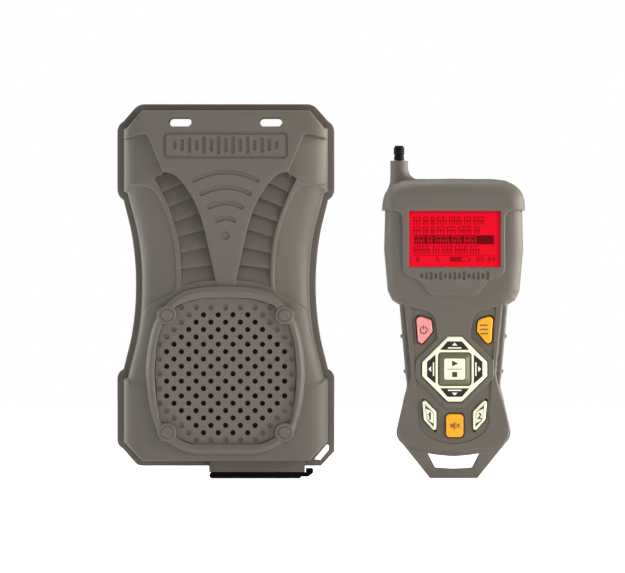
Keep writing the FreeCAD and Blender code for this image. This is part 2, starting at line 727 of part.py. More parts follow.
# ---------------------------------------------------------------- battery bay of the caller
def battery_tray():
    outer = block(-TRAY_HALF, TRAY_HALF, TRAY_FRONT, TRAY_BACK, TRAY_BOTTOM, TRAY_TOP)
    inner = block(-TRAY_HALF + TRAY_WALL, TRAY_HALF - TRAY_WALL, TRAY_FRONT + TRAY_WALL, TRAY_BACK,
                  TRAY_BOTTOM + TRAY_WALL, TRAY_TOP - TRAY_WALL)
    ribs = [block(x - 0.3, x + 0.3, TRAY_FRONT, TRAY_FRONT + 4, TRAY_BOTTOM, TRAY_TOP)
            for x in (-15.1, 0, 15.1)]
    return fused([outer.cut(inner)] + ribs)


def cell(radius, length, x, y, z, flip):
    """A round cell with its button, standing along Z."""
    can = rod_z(radius, x, y, z, z + length)
    button = rod_z(radius * 0.36, x, y, z + length, z + length + 1.1)
    whole = fused([can, button])
    if flip:
        whole.rotate(vec(x, y, z + length / 2), vec(1, 0, 0), 180)
    return whole


def battery_cells():
    y = TRAY_FRONT + TRAY_WALL + CELL_R + 0.6
    return Part.makeCompound([
        cell(CELL_R, CELL_LENGTH, -22.65 + 15.1 * k, y, z, k % 2)
        for k in range(4) for z in (TRAY_BOTTOM + 3.6, TRAY_BOTTOM + 55.6)])


def battery_contacts():
    """Sprung contact plates at both ends of the two rows."""
    y = TRAY_FRONT + TRAY_WALL + CELL_R + 0.6
    plates = []
    for k in range(4):
        x = -22.65 + 15.1 * k
        for z in (TRAY_BOTTOM + TRAY_WALL, TRAY_TOP - TRAY_WALL - 0.5):
            plates.append(block(x - 5, x + 5, y - 5, y + 5, z, z + 0.5))
    return Part.makeCompound(plates)


def battery_door():
    """Door with a rounded lower edge that turns on two pins, and finger grooves near its top."""
    half_thick = DOOR_THICK / 2
    plate = block(-DOOR_HALF, DOOR_HALF, DOOR_HINGE_Y - half_thick, REAR_Y, DOOR_HINGE_Z, DOOR_TOP)
    edge = rod_x(half_thick, DOOR_HINGE_Y, DOOR_HINGE_Z, -DOOR_HALF, DOOR_HALF)
    grooves = [block(-14, 14, REAR_Y - 0.8, REAR_Y, z, z + 1.6) for z in (114, 118, 122, 126)]
    bore = rod_x(HINGE_PIN_R + RUNNING, DOOR_HINGE_Y, DOOR_HINGE_Z, -DOOR_HALF, -DOOR_HALF + 4.0)
    return fused([plate, edge]).cut(Part.makeCompound(grooves + [bore, mirrored(bore)]))


def door_hinge_pins():
    pin = rod_x(HINGE_PIN_R, DOOR_HINGE_Y, DOOR_HINGE_Z, -DOOR_HALF - 1.5, -DOOR_HALF + 3.5)
    return Part.makeCompound([pin, mirrored(pin)])


def door_gasket():
    outer = block(-TRAY_HALF, TRAY_HALF, TRAY_BACK, TRAY_BACK + 0.5, TRAY_BOTTOM + 1.5, TRAY_TOP)
    inner = block(-TRAY_HALF + TRAY_WALL, TRAY_HALF - TRAY_WALL, TRAY_BACK, TRAY_BACK + 0.5,
                  TRAY_BOTTOM + 3, TRAY_TOP - TRAY_WALL)
    return outer.cut(inner)


# ---------------------------------------------------------------- ports in the base
def port_panel():
    panel = port_seat()
    holes = [rod_z(3.0, x, PORT_MID_Y, PANEL_BOTTOM, PANEL_TOP) for x in JACKS_X]
    holes.append(rod_z(BUTTON_R + 0.2, BUTTON_X, PORT_MID_Y, PANEL_BOTTOM, PANEL_TOP))
    return panel.cut(Part.makeCompound(holes))


def port_jacks():
    """Two 3.5 mm jacks: threaded nose in the panel, body above it."""
    jacks = []
    for x in JACKS_X:
        nose = rod_z(3.0, x, PORT_MID_Y, 7.8, PANEL_TOP)
        body = block(x - 4, x + 4, PORT_MID_Y - 4, PORT_MID_Y + 4, PANEL_TOP, 17.4)
        jacks.append(fused([nose, body]).cut(rod_z(1.75, x, PORT_MID_Y, 7.8, 16.0)))
    return Part.makeCompound(jacks)


def power_button():
    stem = rod_z(BUTTON_R, BUTTON_X, PORT_MID_Y, 7.2, PANEL_TOP + 0.2)
    return fused([stem, rod_z(5.4, BUTTON_X, PORT_MID_Y, PANEL_TOP + 0.2, PANEL_TOP + 1.4)])


def power_switch():
    body = block(BUTTON_X - 4.5, BUTTON_X + 4.5, PORT_MID_Y - 4.5, PORT_MID_Y + 4.5, 14.4, 18.2)
    return fused([body, rod_z(1.6, BUTTON_X, PORT_MID_Y, 13.4, 14.4)])


def port_cover():
    """Rubber cover under the base: round hinge bead at the left, plug lip, pull tail at the right."""
    bevel, tail_left = 1.4, BOSS_RIGHT + 0.5
    plate = slab(closed((COVER_AXIS_X, 0), (41.0, 0), (42.2, bevel), (42.2, COVER_THICK),
                        (COVER_AXIS_X, COVER_THICK)), BOSS_FRONT, BOSS_BACK)
    tail = slab(closed((41.0, 0.8), (45.5, 0.8), (48.3, 3.0), (48.3, 5.0), (47.6, 5.5), (tail_left, 5.5),
                       (tail_left, COVER_THICK), (41.0, COVER_THICK)), PORT_MID_Y - 7, PORT_MID_Y + 7)
    bead = rod_y(COVER_THICK / 2, COVER_AXIS_X, COVER_THICK / 2, BOSS_FRONT, BOSS_BACK)
    lip = block(0, BOSS_RIGHT - PORT_WALL - 0.5, BOSS_FRONT + PORT_WALL + 0.5, BOSS_BACK - PORT_WALL - 0.5,
                COVER_THICK, 5.2)
    hollow = block(1.5, BOSS_RIGHT - PORT_WALL - 2, BOSS_FRONT + PORT_WALL + 2, BOSS_BACK - PORT_WALL - 2,
                   COVER_THICK - 0.8, 5.2)
    return fused([plate, tail, bead, lip]).cut(hollow)


# ---------------------------------------------------------------- remote outlines
def remote_wire():
    """Grip and head together: flared foot, waist, shoulders, square head."""
    return symmetric(
        (0, 0), (13.2, 0), (28.1, 18.7), ("arc", (31.0, 22.6), (31.2, 27.8)), (27.2, 45.3),
        ("arc", (25.9, 51.0), (26.5, 57.0)), (29.9, 95.8),
        (34.0, 98.3), (36.4, 103.4), (38.4, 126.0), (37.8, 150.0), (34.0, 161.0), (0, 161.0),
    )


def hood_wire():
    return symmetric(
        (0, 147.8), (39.5, 147.8),
        ("curve", (39.0, 153.7), (37.4, 158.1), (34.3, 161.4), (30.4, 163.6), (26.4, 164.7),
         (13, 165.3), (0, 165.5)),
    )


def bezel_wire():
    return symmetric(
        (0, 100.7), (12.4, 100.7), (17.4, 106.7), (18.8, 108.4), (26.9, 112.4), (28.4, 115.2),
        (28.4, 150), (0, 150),
    )


def head_plate_wire():
    """Raised head with the tongue that runs down between the two upper keys."""
    return symmetric(
        (0, 76), (8.3, 76), (9.3, 78.1), ("curve", (10, 84.6), (13.5, 91.5), (18.8, 93.3)),
        (27.6, 95.8), (34.5, 99.0), (36.0, 104.5), (37.0, 120), (36.6, 152), (0, 152),
    )


def loop_window_wire():
    return closed((-10.2, 5.9), ("arc", (0, 5.3), (10.2, 5.9)),
                  (14.3, 13.7), ("arc", (0, 12.2), (-14.3, 13.7)))


def remote_hollow(front, back):
    room = slab(inset(remote_wire(), REMOTE_WALL), front, back)
    return room.common(block(-60, 60, front, back, LOOP_TOP + 2, 158.5))


def soft_corners(points, radius):
    """A closed outline through the points with every corner rounded."""
    steps = []
    count = len(points)
    for k, (x, z) in enumerate(points):
        here = vec(x, 0, z)
        back = vec(points[k - 1][0], 0, points[k - 1][1]) - here
        ahead = vec(points[(k + 1) % count][0], 0, points[(k + 1) % count][1]) - here
        half_angle = back.getAngle(ahead) / 2
        reach = min(radius / math.tan(half_angle), 0.45 * back.Length, 0.45 * ahead.Length)
        fillet = reach * math.tan(half_angle)
        bisector = (back.normalize() + ahead.normalize()).normalize()
        start, end = here + back * reach, here + ahead * reach
        middle = here + bisector * (fillet / math.sin(half_angle) - fillet)
        steps += [(start.x, start.z), ("arc", (middle.x, middle.z), (end.x, end.z))]
    return closed(steps[0], *steps[1:], steps[0])


def key_cut(wire):
    return slab(inset(wire, -KEY_GAP), HOOD_Y, REMOTE_INNER_Y)


def upper_key_wire(side):
    return soft_corners([(FACE_X - side * x, z) for x, z in POWER_KEY], 2.2)


def preset_key_wire(side):
    return soft_corners([(FACE_X - side * x, z) for x, z in PRESET_KEY], 1.2)


def mute_key_wire():
    return rounded_box_wire(MUTE_CENTRE[0], MUTE_CENTRE[1], MUTE_HALF[0], MUTE_HALF[1], 2.2)


def pad_wire(grow=0.0):
    return diamond_wire(FACE_X, PAD_Z, PAD_HALF + grow, PAD_FLAT + grow * 0.4)


def select_wire(half):
    return rounded_box_wire(FACE_X, PAD_Z, half, half, 2.0)


# ---------------------------------------------------------------- remote shells
def loop_relief(side):
    """Room cut away over the lanyard loop, which thins from the grip to its end; side is -1 in front."""
    below = slab(closed((-40, -1), (40, -1), (40, 18.1), (27, 18.1), ("arc", (0, 14.6), (-27, 18.1)),
                        (-40, 18.1)), -20, 20)
    section = [vec(-40, side * y, z) for y, z in ((LOOP_THIN, -1), (LOOP_THICK, 19), (20, 19), (20, -1))]
    wedge = Part.Face(Part.makePolygon(section + section[:1])).extrude(vec(80, 0, 0))
    return below.common(wedge)


def side_nubs():
    """Two small round nubs on each side of the grip."""
    return [Part.makeSphere(1.3, vec(side * x, -3.0, z))
            for side in (-1, 1) for x, z in ((26.4, 59.1), (28.2, 78.5))]


def remote_front_shell():
    wire = remote_wire()
    body = rolled(wire, KEYPAD_Y, 4.5, 3.6, 4)
    head = taper(head_plate_wire(), [(0, -10), (0, -13.4), (0.6, HEAD_Y)])
    surround = taper(diamond_wire(FACE_X, PAD_Z, SURROUND_HALF, 4.6),
                     [(0, -12), (0, -13.4), (0.6, HEAD_Y)])
    bezel = taper(bezel_wire(), [(0, -12), (0, -14.2), (1.0, BEZEL_Y)])
    hood = taper(hood_wire(), [(0, 0), (0, -13.5), (1.2, -16.0), (3.0, HOOD_Y)])
    body = body.cut(loop_relief(-1))
    shell = fused([body, head, surround, bezel, hood] + side_nubs())
    shell = shell.cut(remote_hollow(REMOTE_INNER_Y, 0))
    shell = fused([shell] + [rod_y(3.0, x, z, REMOTE_INNER_Y, 0) for x, z in REMOTE_SCREWS])
    cutters = [
        slab(loop_window_wire(), -20, 0),
        block(LCD_LEFT, LCD_RIGHT, HOOD_Y - 1, REMOTE_INNER_Y, LCD_BOTTOM, LCD_TOP),
        block(LCD_LEFT - 2.1, LCD_RIGHT + 1.8, -12.4, REMOTE_INNER_Y, LCD_BOTTOM - 2.4, LCD_TOP + 2.1),
        slab(pad_wire(0.4), HOOD_Y, REMOTE_INNER_Y),
        key_cut(mute_key_wire()),
        antenna_bore(),
    ]
    cutters += [key_cut(upper_key_wire(side)) for side in (-1, 1)]
    cutters += [key_cut(preset_key_wire(side)) for side in (-1, 1)]
    cutters += [rod_y(1.1, x, z, -8.5, 0) for x, z in REMOTE_SCREWS]
    return shell.cut(Part.makeCompound(cutters))


def antenna_bore():
    return rod_z(ANTENNA_TUBES[0][0], ANTENNA_X, ANTENNA_Y, ANTENNA_BOTTOM, ANTENNA_TOP)


def remote_rear_shell():
    wire = remote_wire()
    body = rolled(wire, REMOTE_REAR, 4.5, 3.6, 6)
    hood = taper(hood_wire(), [(0, 0), (0, 9), (0.5, 11), (1.4, 12.3), (3.2, REMOTE_REAR)])
    collar = rod_z(4.85, ANTENNA_X, ANTENNA_Y, 158, ANTENNA_TOP)
    shell = fused([body.cut(loop_relief(1)), hood, collar])
    shell = shell.cut(remote_hollow(0, REMOTE_REAR_INNER))
    posts = [rod_y(3.0, x, z, 0, 12) for x, z in REMOTE_SCREWS]
    shell = fused([shell] + posts)
    cutters = [rod_y(1.2, x, z, 0, 9.5) for x, z in REMOTE_SCREWS]
    cutters += [rod_y(2.4, x, z, 9.5, REMOTE_REAR) for x, z in REMOTE_SCREWS]
    cutters.append(slab(loop_window_wire(), 0, 20))
    cutters.append(antenna_bore())
    cutters.append(block(-REMOTE_DOOR_HALF - 0.2, REMOTE_DOOR_HALF + 0.2, REMOTE_REAR_INNER - 0.1, 14,
                         REMOTE_HINGE_Z - REMOTE_DOOR_THICK / 2 - 0.2, REMOTE_DOOR_TOP + 0.2))
    cutters.append(rod_x(TRUNNION_R + RUNNING, REMOTE_HINGE_Y, REMOTE_HINGE_Z,
                         -REMOTE_DOOR_HALF - 1.5, REMOTE_DOOR_HALF + 1.5))
    return shell.cut(Part.makeCompound(cutters))


def remote_screws():
    screws = []
    for x, z in REMOTE_SCREWS:
        head = rod_y(2.1, x, z, 9.5, 11.3).cut(cross_recess(x, z, 10.5, 11.3, 1.3))
        screws.append(fused([head, rod_y(1.1, x, z, -8, 9.5)]))
    return Part.makeCompound(screws)


# ---------------------------------------------------------------- remote display and keys
def display_window():
    return block(LCD_LEFT + 0.1, LCD_RIGHT - 0.1, -14.8, -12.6, LCD_BOTTOM + 0.1, LCD_TOP - 0.1)


def display_module():
    return block(LCD_LEFT - 1.8, LCD_RIGHT + 1.5, -12.3, -8.6, LCD_BOTTOM - 2.1, LCD_TOP + 1.8)


def remote_board():
    wire = symmetric((0, 24), (18, 24), (18, 110), (24, 113), (24, 150), (0, 150))
    return slab(wire, BOARD_Y, BOARD_Y + BOARD_THICK)


def remote_chips():
    """Radio module, controller, memory and crystal on the back of the remote's board."""
    back = BOARD_Y + BOARD_THICK
    sizes = [(-8, 8, 3.0, 126, 142), (-14, -6, 1.4, 96, 108), (2, 12, 1.6, 94, 106), (-4, 1, 1.8, 112, 122)]
    return Part.makeCompound([block(x0, x1, back, back + deep, z0, z1) for x0, x1, deep, z0, z1 in sizes])


def key(wire):
    """A hard key cap with its stem: narrower at the front face."""
    return taper(wire, [(0, KEY_BACK_Y), (0, KEY_FRONT_Y + 0.6), (0.6, KEY_FRONT_Y)])


def select_key():
    return taper(select_wire(SELECT_HALF), [(0, KEY_BACK_Y), (0, -14.2), (2.6, -16.0)])


def nav_pad():
    """Eight-sided rocker with a square opening for the select key."""
    pad = taper(pad_wire(), [(0, -13.4), (0, -14.4), (0.7, -15.1)])
    return pad.cut(slab(select_wire(SELECT_HALF + 0.3), -16, -13))


def nav_carrier():
    """Carrier under the rocker, with four feet that press the switches."""
    plate = slab(diamond_wire(FACE_X, PAD_Z, 15.4, 6.4), -12.5, -11.6)
    feet = [rod_y(1.3, FACE_X + 13 * dx, PAD_Z + 13 * dz, -11.6, -10.3)
            for dx, dz in ((1, 0), (-1, 0), (0, 1), (0, -1))]
    return fused([plate] + feet).cut(slab(select_wire(SELECT_HALF + 0.5), -13, -11))


def key_centres():
    sides = [(FACE_X + 13 * dx, PAD_Z + 13 * dz) for dx, dz in ((1, 0), (-1, 0), (0, 1), (0, -1))]
    return sides + [(-15.4, 82), (15.4, 82), (-13.2, 35), (13.2, 35), MUTE_CENTRE, (FACE_X, PAD_Z)]


def keypad_membrane():
    sheet = symmetric((0, 24.5), (17.6, 24.5), (17.6, 90), (0, 90))
    return slab(sheet, MEMBRANE_Y, MEMBRANE_Y + MEMBRANE_THICK)


def switch_domes():
    return Part.makeCompound([rod_y(2.4, x, z, BOARD_Y - 0.6, BOARD_Y) for x, z in key_centres()])


# ---------------------------------------------------------------- remote antenna and battery bay
def antenna_tube(level):
    outer, inner = ANTENNA_TUBES[level]
    bottom = ANTENNA_BOTTOM + 0.6 * level
    tube = rod_z(outer, ANTENNA_X, ANTENNA_Y, bottom, ANTENNA_TOP)
    return tube.cut(rod_z(inner, ANTENNA_X, ANTENNA_Y, bottom, ANTENNA_TOP))


def antenna_tip():
    """Innermost rod with its moulded head."""
    rod = rod_z(ANTENNA_ROD_R, ANTENNA_X, ANTENNA_Y, ANTENNA_BOTTOM + 2, ANTENNA_TOP + 1)
    profile = [(0, 175.6), (2.8, 175.6), (2.8, 177.9), (2.5, 178.2), (2.5, 178.6), (2.95, 178.9),
               (2.95, 182.4), (2.1, 183.8), (0, 183.8)]
    points = [vec(ANTENNA_X + r, ANTENNA_Y, z) for r, z in profile]
    face = Part.Face(Part.makePolygon(points + points[:1]))
    return fused([rod, face.revolve(vec(ANTENNA_X, ANTENNA_Y, 0), vec(0, 0, 1), 360)])


def remote_battery_cells():
    return Part.makeCompound([cell(AAA_R, 43.3, 11 * k, 5.6, 41.2 + 0.2 * k, k == 0) for k in (-1, 0, 1)])


def remote_battery_contacts():
    return Part.makeCompound([block(x - 3.5, x + 3.5, 2, 9, z, z + 0.4)
                              for x in (-11, 0, 11) for z in (39.2, 86.6)])


def remote_battery_door():
    """Door with a rounded lower edge, trunnions at its lower corners and finger grooves."""
    half = REMOTE_DOOR_THICK / 2
    plate = block(-REMOTE_DOOR_HALF, REMOTE_DOOR_HALF, REMOTE_HINGE_Y - half, REMOTE_REAR,
                  REMOTE_HINGE_Z, REMOTE_DOOR_TOP)
    edge = rod_x(half, REMOTE_HINGE_Y, REMOTE_HINGE_Z, -REMOTE_DOOR_HALF, REMOTE_DOOR_HALF)
    reach = REMOTE_DOOR_HALF + 1.2
    trunnion = rod_x(TRUNNION_R, REMOTE_HINGE_Y, REMOTE_HINGE_Z, -reach, reach)
    grooves = [block(-8, 8, REMOTE_REAR - 0.6, REMOTE_REAR, z, z + 1.2) for z in (77, 80, 83, 86)]
    return fused([plate, edge, trunnion]).cut(Part.makeCompound(grooves))


CALLER_PARTS = {
    "caller_front_shell": front_shell,
    "caller_rear_shell": rear_shell,
    "shell_gasket": gasket_ring,
    "shell_screws": shell_screws,
    "speaker_grille": grille,
    "grille_screws": grille_screws,
    "screw_caps": screw_caps,
    "grille_nuts": grille_nuts,
    "grille_cloth": grille_cloth,
    "speaker_gasket": speaker_gasket,
    "speaker_frame": speaker_frame,
    "speaker_top_plate": speaker_top_plate,
    "speaker_magnet": speaker_magnet,
    "speaker_yoke": speaker_yoke,
    "voice_coil": voice_coil,
    "speaker_cone": speaker_cone,
    "dust_cap": dust_cap,
    "speaker_surround": speaker_surround,
    "speaker_spider": speaker_spider,
    "amplifier_board": amplifier_board,
    "board_screws": board_screws,
    "board_components": board_components,
    "receiver_aerial": receiver_aerial,
    "speaker_leads": speaker_leads,
    "battery_tray": battery_tray,
    "battery_cells": battery_cells,
    "battery_contacts": battery_contacts,
    "battery_door": battery_door,
    "door_hinge_pins": door_hinge_pins,
    "door_gasket": door_gasket,
    "port_panel": port_panel,
    "port_jacks": port_jacks,
    "power_button": power_button,
    "power_switch": power_switch,
    "port_cover": port_cover,
}

REMOTE_PARTS = {
    "remote_front_shell": remote_front_shell,
    "remote_rear_shell": remote_rear_shell,
    "remote_screws": remote_screws,
    "display_window": display_window,
    "display_module": display_module,
    "remote_board": remote_board,
    "remote_chips": remote_chips,
    "keypad_membrane": keypad_membrane,
    "switch_domes": switch_domes,
    "power_key": lambda: key(upper_key_wire(-1)),
    "menu_key": lambda: key(upper_key_wire(1)),
    "preset_one_key": lambda: key(preset_key_wire(-1)),
    "preset_two_key": lambda: key(preset_key_wire(1)),
    "mute_key": lambda: key(mute_key_wire()),
    "select_key": select_key,
    "nav_pad": nav_pad,
    "nav_carrier": nav_carrier,
    "antenna_sleeve": lambda: antenna_tube(0),
    "antenna_lower_tube": lambda: antenna_tube(1),
    "antenna_upper_tube": lambda: antenna_tube(2),
    "antenna_tip": antenna_tip,
    "remote_battery_cells": remote_battery_cells,
    "remote_battery_contacts": remote_battery_contacts,
    "remote_battery_door": remote_battery_door,
}


def build():
    os.makedirs("parts", exist_ok=True)
    for name, make in CALLER_PARTS.items():
        export(name, make())
    for name, make in REMOTE_PARTS.items():
        export(name, make(), REMOTE_X)


build()
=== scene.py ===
"""Looks of the game caller and its remote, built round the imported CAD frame.

Shapes are worked out in millimetres, seen from the front: x to the right, z up, height to the viewer.
Each shell is a relief: one height function over an outline, meshed along the lines where it changes.
"""
import json
import math

import bmesh
import bpy
import numpy as np
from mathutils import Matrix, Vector
from mathutils.geometry import delaunay_2d_cdt
from mathutils.kdtree import KDTree

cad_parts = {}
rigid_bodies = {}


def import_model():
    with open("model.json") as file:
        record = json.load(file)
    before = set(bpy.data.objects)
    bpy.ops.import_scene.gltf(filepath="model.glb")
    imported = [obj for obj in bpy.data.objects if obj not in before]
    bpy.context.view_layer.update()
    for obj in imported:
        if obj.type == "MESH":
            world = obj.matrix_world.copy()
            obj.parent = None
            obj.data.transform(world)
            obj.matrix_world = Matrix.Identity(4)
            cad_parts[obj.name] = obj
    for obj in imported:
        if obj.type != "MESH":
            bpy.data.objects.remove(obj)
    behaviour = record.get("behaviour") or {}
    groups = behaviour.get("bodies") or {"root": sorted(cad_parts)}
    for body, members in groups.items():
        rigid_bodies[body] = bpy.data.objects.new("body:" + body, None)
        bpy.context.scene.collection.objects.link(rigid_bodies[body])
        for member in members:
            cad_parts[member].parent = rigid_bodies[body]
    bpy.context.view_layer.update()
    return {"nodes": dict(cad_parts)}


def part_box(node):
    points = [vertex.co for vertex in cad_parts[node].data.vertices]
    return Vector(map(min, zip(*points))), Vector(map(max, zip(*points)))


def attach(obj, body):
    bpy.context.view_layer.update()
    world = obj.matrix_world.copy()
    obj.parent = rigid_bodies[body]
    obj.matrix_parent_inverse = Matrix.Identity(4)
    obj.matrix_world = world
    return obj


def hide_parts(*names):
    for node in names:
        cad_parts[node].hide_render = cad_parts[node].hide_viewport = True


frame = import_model()
MM = 0.001
STEEP = 0.08                # width of a steep wall, seen from the front
GROOVE_SIDE = 0.22          # width of a groove's sloping side
SHARP_TURN = math.radians(20)   # an outer offset gets an arc round corners that turn more than this
SHARP_EDGE = math.radians(32)   # edges that turn more than this are shaded as creases
GRID = 2.4                  # spacing of the relief's points where nothing else asks for one
AMBIENT_LEFT, AMBIENT_RIGHT = 0.24, 0.52    # strength of the surroundings on each side
COOL, COOL_POWER = (0.90, 0.96, 1.0), 15.0
WARM, WARM_POWER = (1.0, 0.93, 0.82), 25.0
TOP_POWER, KEY_POWER, REMOTE_POWER = 15.0, 18.0, 18.0
UNEASED = ("speaker_grille", "caller_front_shell", "remote_front_shell", "voice_coil", "grille_cloth")


# ---------------------------------------------------------------- outlines
def smooth_run(points, step=1.2):
    """Points along a smooth curve through the given ones."""
    p = [np.array(q, float) for q in points]
    p = [2 * p[0] - p[1]] + p + [2 * p[-1] - p[-2]]
    run = []
    for a, b, c, d in zip(p, p[1:], p[2:], p[3:]):
        count = max(2, int(np.linalg.norm(c - b) / step))
        for t in np.arange(count) / count:
            run.append(0.5 * (2 * b + (c - a) * t + (2 * a - 5 * b + 4 * c - d) * t**2
                              + (3 * b - a - 3 * c + d) * t**3))
    return run + [p[-2]]


def trace(start, *steps):
    """An open outline: a plain point is a straight run, ("curve", p, q, ...) a smooth curve."""
    run = [np.array(start, float)]
    for step in steps:
        if step[0] == "curve":
            run += smooth_run([run[-1]] + list(step[1:]))[1:]
        else:
            run.append(np.array(step, float))
    return np.array(run)


def symmetric(start, *steps):
    """A closed outline from its right half, which starts and ends on the centre plane."""
    half = trace(start, *steps)
    return np.vstack([half, half[-2:0:-1] * (-1, 1)])


def rounded_box(x, z, half_x, half_z, radius):
    """A box round a middle point, with round corners."""
    corners = enumerate([(1, 1), (-1, 1), (-1, -1), (1, -1)])
    return np.vstack([
        arc_line(x + sx * (half_x - radius), z + sz * (half_z - radius), radius, 90 * k, 90 * k + 90, 6)
        for k, (sx, sz) in corners])


def circle(x, z, radius, count=32):
    turn = np.arange(count) * 2 * math.pi / count
    return np.stack([x + radius * np.cos(turn), z + radius * np.sin(turn)], 1)


def arc_line(x, z, radius, start, end, count=14):
    """Points on an arc between two headings in degrees."""
    turns = np.radians(np.linspace(start, end, count))
    return np.stack([x + radius * np.cos(turns), z + radius * np.sin(turns)], 1)


def upright(x, z, half_height):
    return np.array([(x, z - half_height), (x, z + half_height)])


def box_outline(left, right, bottom, top):
    return np.array([(left, bottom), (right, bottom), (right, top), (left, top)])


def spread(line, step, closed=True):
    """The same line with more points, so that no run is longer than the step."""
    ends = np.roll(line, -1, 0) if closed else line[1:]
    run = []
    for a, b in zip(line, ends):
        count = max(1, math.ceil(np.linalg.norm(b - a) / step - 1e-6))
        run += [a + (b - a) * k / count for k in range(count)]
    if not closed:
        run.append(line[-1])
    return np.array(run)


def distance(points, line, closed=True):
    """Distance from each point to a line; for a closed line it is negative outside."""
    ends = np.roll(line, -1, 0) if closed else line[1:]
    nearest = np.full(len(points), np.inf)
    inside = np.zeros(len(points), bool)
    x, z = points[:, 0], points[:, 1]
    for a, b in zip(line, ends):
        run = b - a
        reach = np.clip(((points - a) @ run) / max(run @ run, 1e-12), 0, 1)
        gap = points - a - reach[:, None] * run
        nearest = np.minimum(nearest, (gap**2).sum(1))
        if closed and a[1] != b[1]:
            crossing = (a[1] > z) != (b[1] > z)
            inside ^= crossing & (x < a[0] + (z - a[1]) * run[0] / run[1])
    nearest = np.sqrt(nearest)
    return np.where(inside, nearest, -nearest) if closed else nearest


def offset(line, gap, closed=True):
    """The line moved sideways: inwards for a closed line that runs anticlockwise."""
    if closed:
        before, after = np.roll(line, 1, 0), np.roll(line, -1, 0)
    else:
        before, after = np.vstack([line[:1], line[:-1]]), np.vstack([line[1:], line[-1:]])
    first, second = line - before, after - line
    first, second = (d / np.maximum(np.linalg.norm(d, axis=1), 1e-9)[:, None] for d in (first, second))
    if not closed:
        first[0], second[-1] = second[0], first[-1]
    normal = np.stack([-(first + second)[:, 1], (first + second)[:, 0]], 1)
    length = np.linalg.norm(normal, axis=1)
    stretch = np.minimum(2 / np.maximum(length, 0.6), 2.2) / np.maximum(length, 1e-9)
    return line + normal * (gap * stretch)[:, None]


def offset_with_arcs(line, gap):
    """The offset of a closed line, with an arc round every corner that it passes outside of."""
    run = []
    corners = zip(np.roll(line, 1, 0), line, np.roll(line, -1, 0), offset(line, gap))
    for before, here, after, moved in corners:
        coming, leaving = math.atan2(*(here - before)[::-1]), math.atan2(*(after - here)[::-1])
        turn = (leaving - coming + math.pi) % (2 * math.pi) - math.pi
        if turn * gap < 0 and abs(turn) > SHARP_TURN:
            count = math.ceil(abs(turn) / SHARP_TURN)
            for heading in coming + turn * np.arange(count + 1) / count:
                run.append(here + gap * np.array((-math.sin(heading), math.cos(heading))))
        else:
            run.append(moved)
    return np.array(run)


# ---------------------------------------------------------------- height profiles
def ramp(d, width):
    """0 before the line, 1 past the width, with rounded ends."""
    t = np.clip(d / width, 0, 1)
    return t * t * (3 - 2 * t)


def roll(d, wide, deep, power=2):
    """How far a rolled edge has dropped, at a distance inside it: a quarter ellipse, or tighter."""
    t = 1 - np.clip(d / wide, 0, 1)
    return deep * (1 - np.sqrt(np.maximum(1 - t**power, 0)))


def stand(base, top, d, edge):
    """The base raised to the top inside a line, by a steep wall with a rounded edge."""
    rise = top - base
    eased = rise - np.minimum(roll(d, edge, edge), np.maximum(rise, 0))
    return base + eased * np.clip(d / STEEP, 0, 1)


def stand_gaps(edge):
    """Distances from a line at which a wall with a rounded edge needs constraint lines."""
    return (0.0, STEEP, 0.3 * edge, 0.6 * edge, edge)


def soft_min(a, b, blend_height):
    """The lower of two heights, with the crease between them rounded."""
    near = np.maximum(blend_height - np.abs(a - b), 0)
    return np.minimum(a, b) - near**2 / (4 * blend_height)


def groove(d, width, depth):
    """Depth of a flat-bottomed groove with steep sides, from the distance to its middle line."""
    return depth * (1 - np.clip((np.abs(d) - width / 2 + GROOVE_SIDE) / GROOVE_SIDE, 0, 1))


# ---------------------------------------------------------------- relief mesher
def whole(line, closed=True):
    """A constraint line that is kept from end to end."""
    return line, np.ones(len(line), bool), closed


def rings(x, z, radii, count):
    return [whole(circle(x, z, radius, count)) for radius in radii]


def lines_round(line, gaps, step, closed=True):
    """Copies of a line at each gap, as constraint lines for the mesher."""
    base = spread(line, step, closed)
    copies = []
    for gap in gaps:
        moved = offset_with_arcs(base, gap) if closed else offset(base, gap, closed)
        true = np.abs(distance(moved, line, closed))
        copies.append((moved, np.abs(true - abs(gap)) < 0.04 + 0.02 * abs(gap), closed))
    return copies


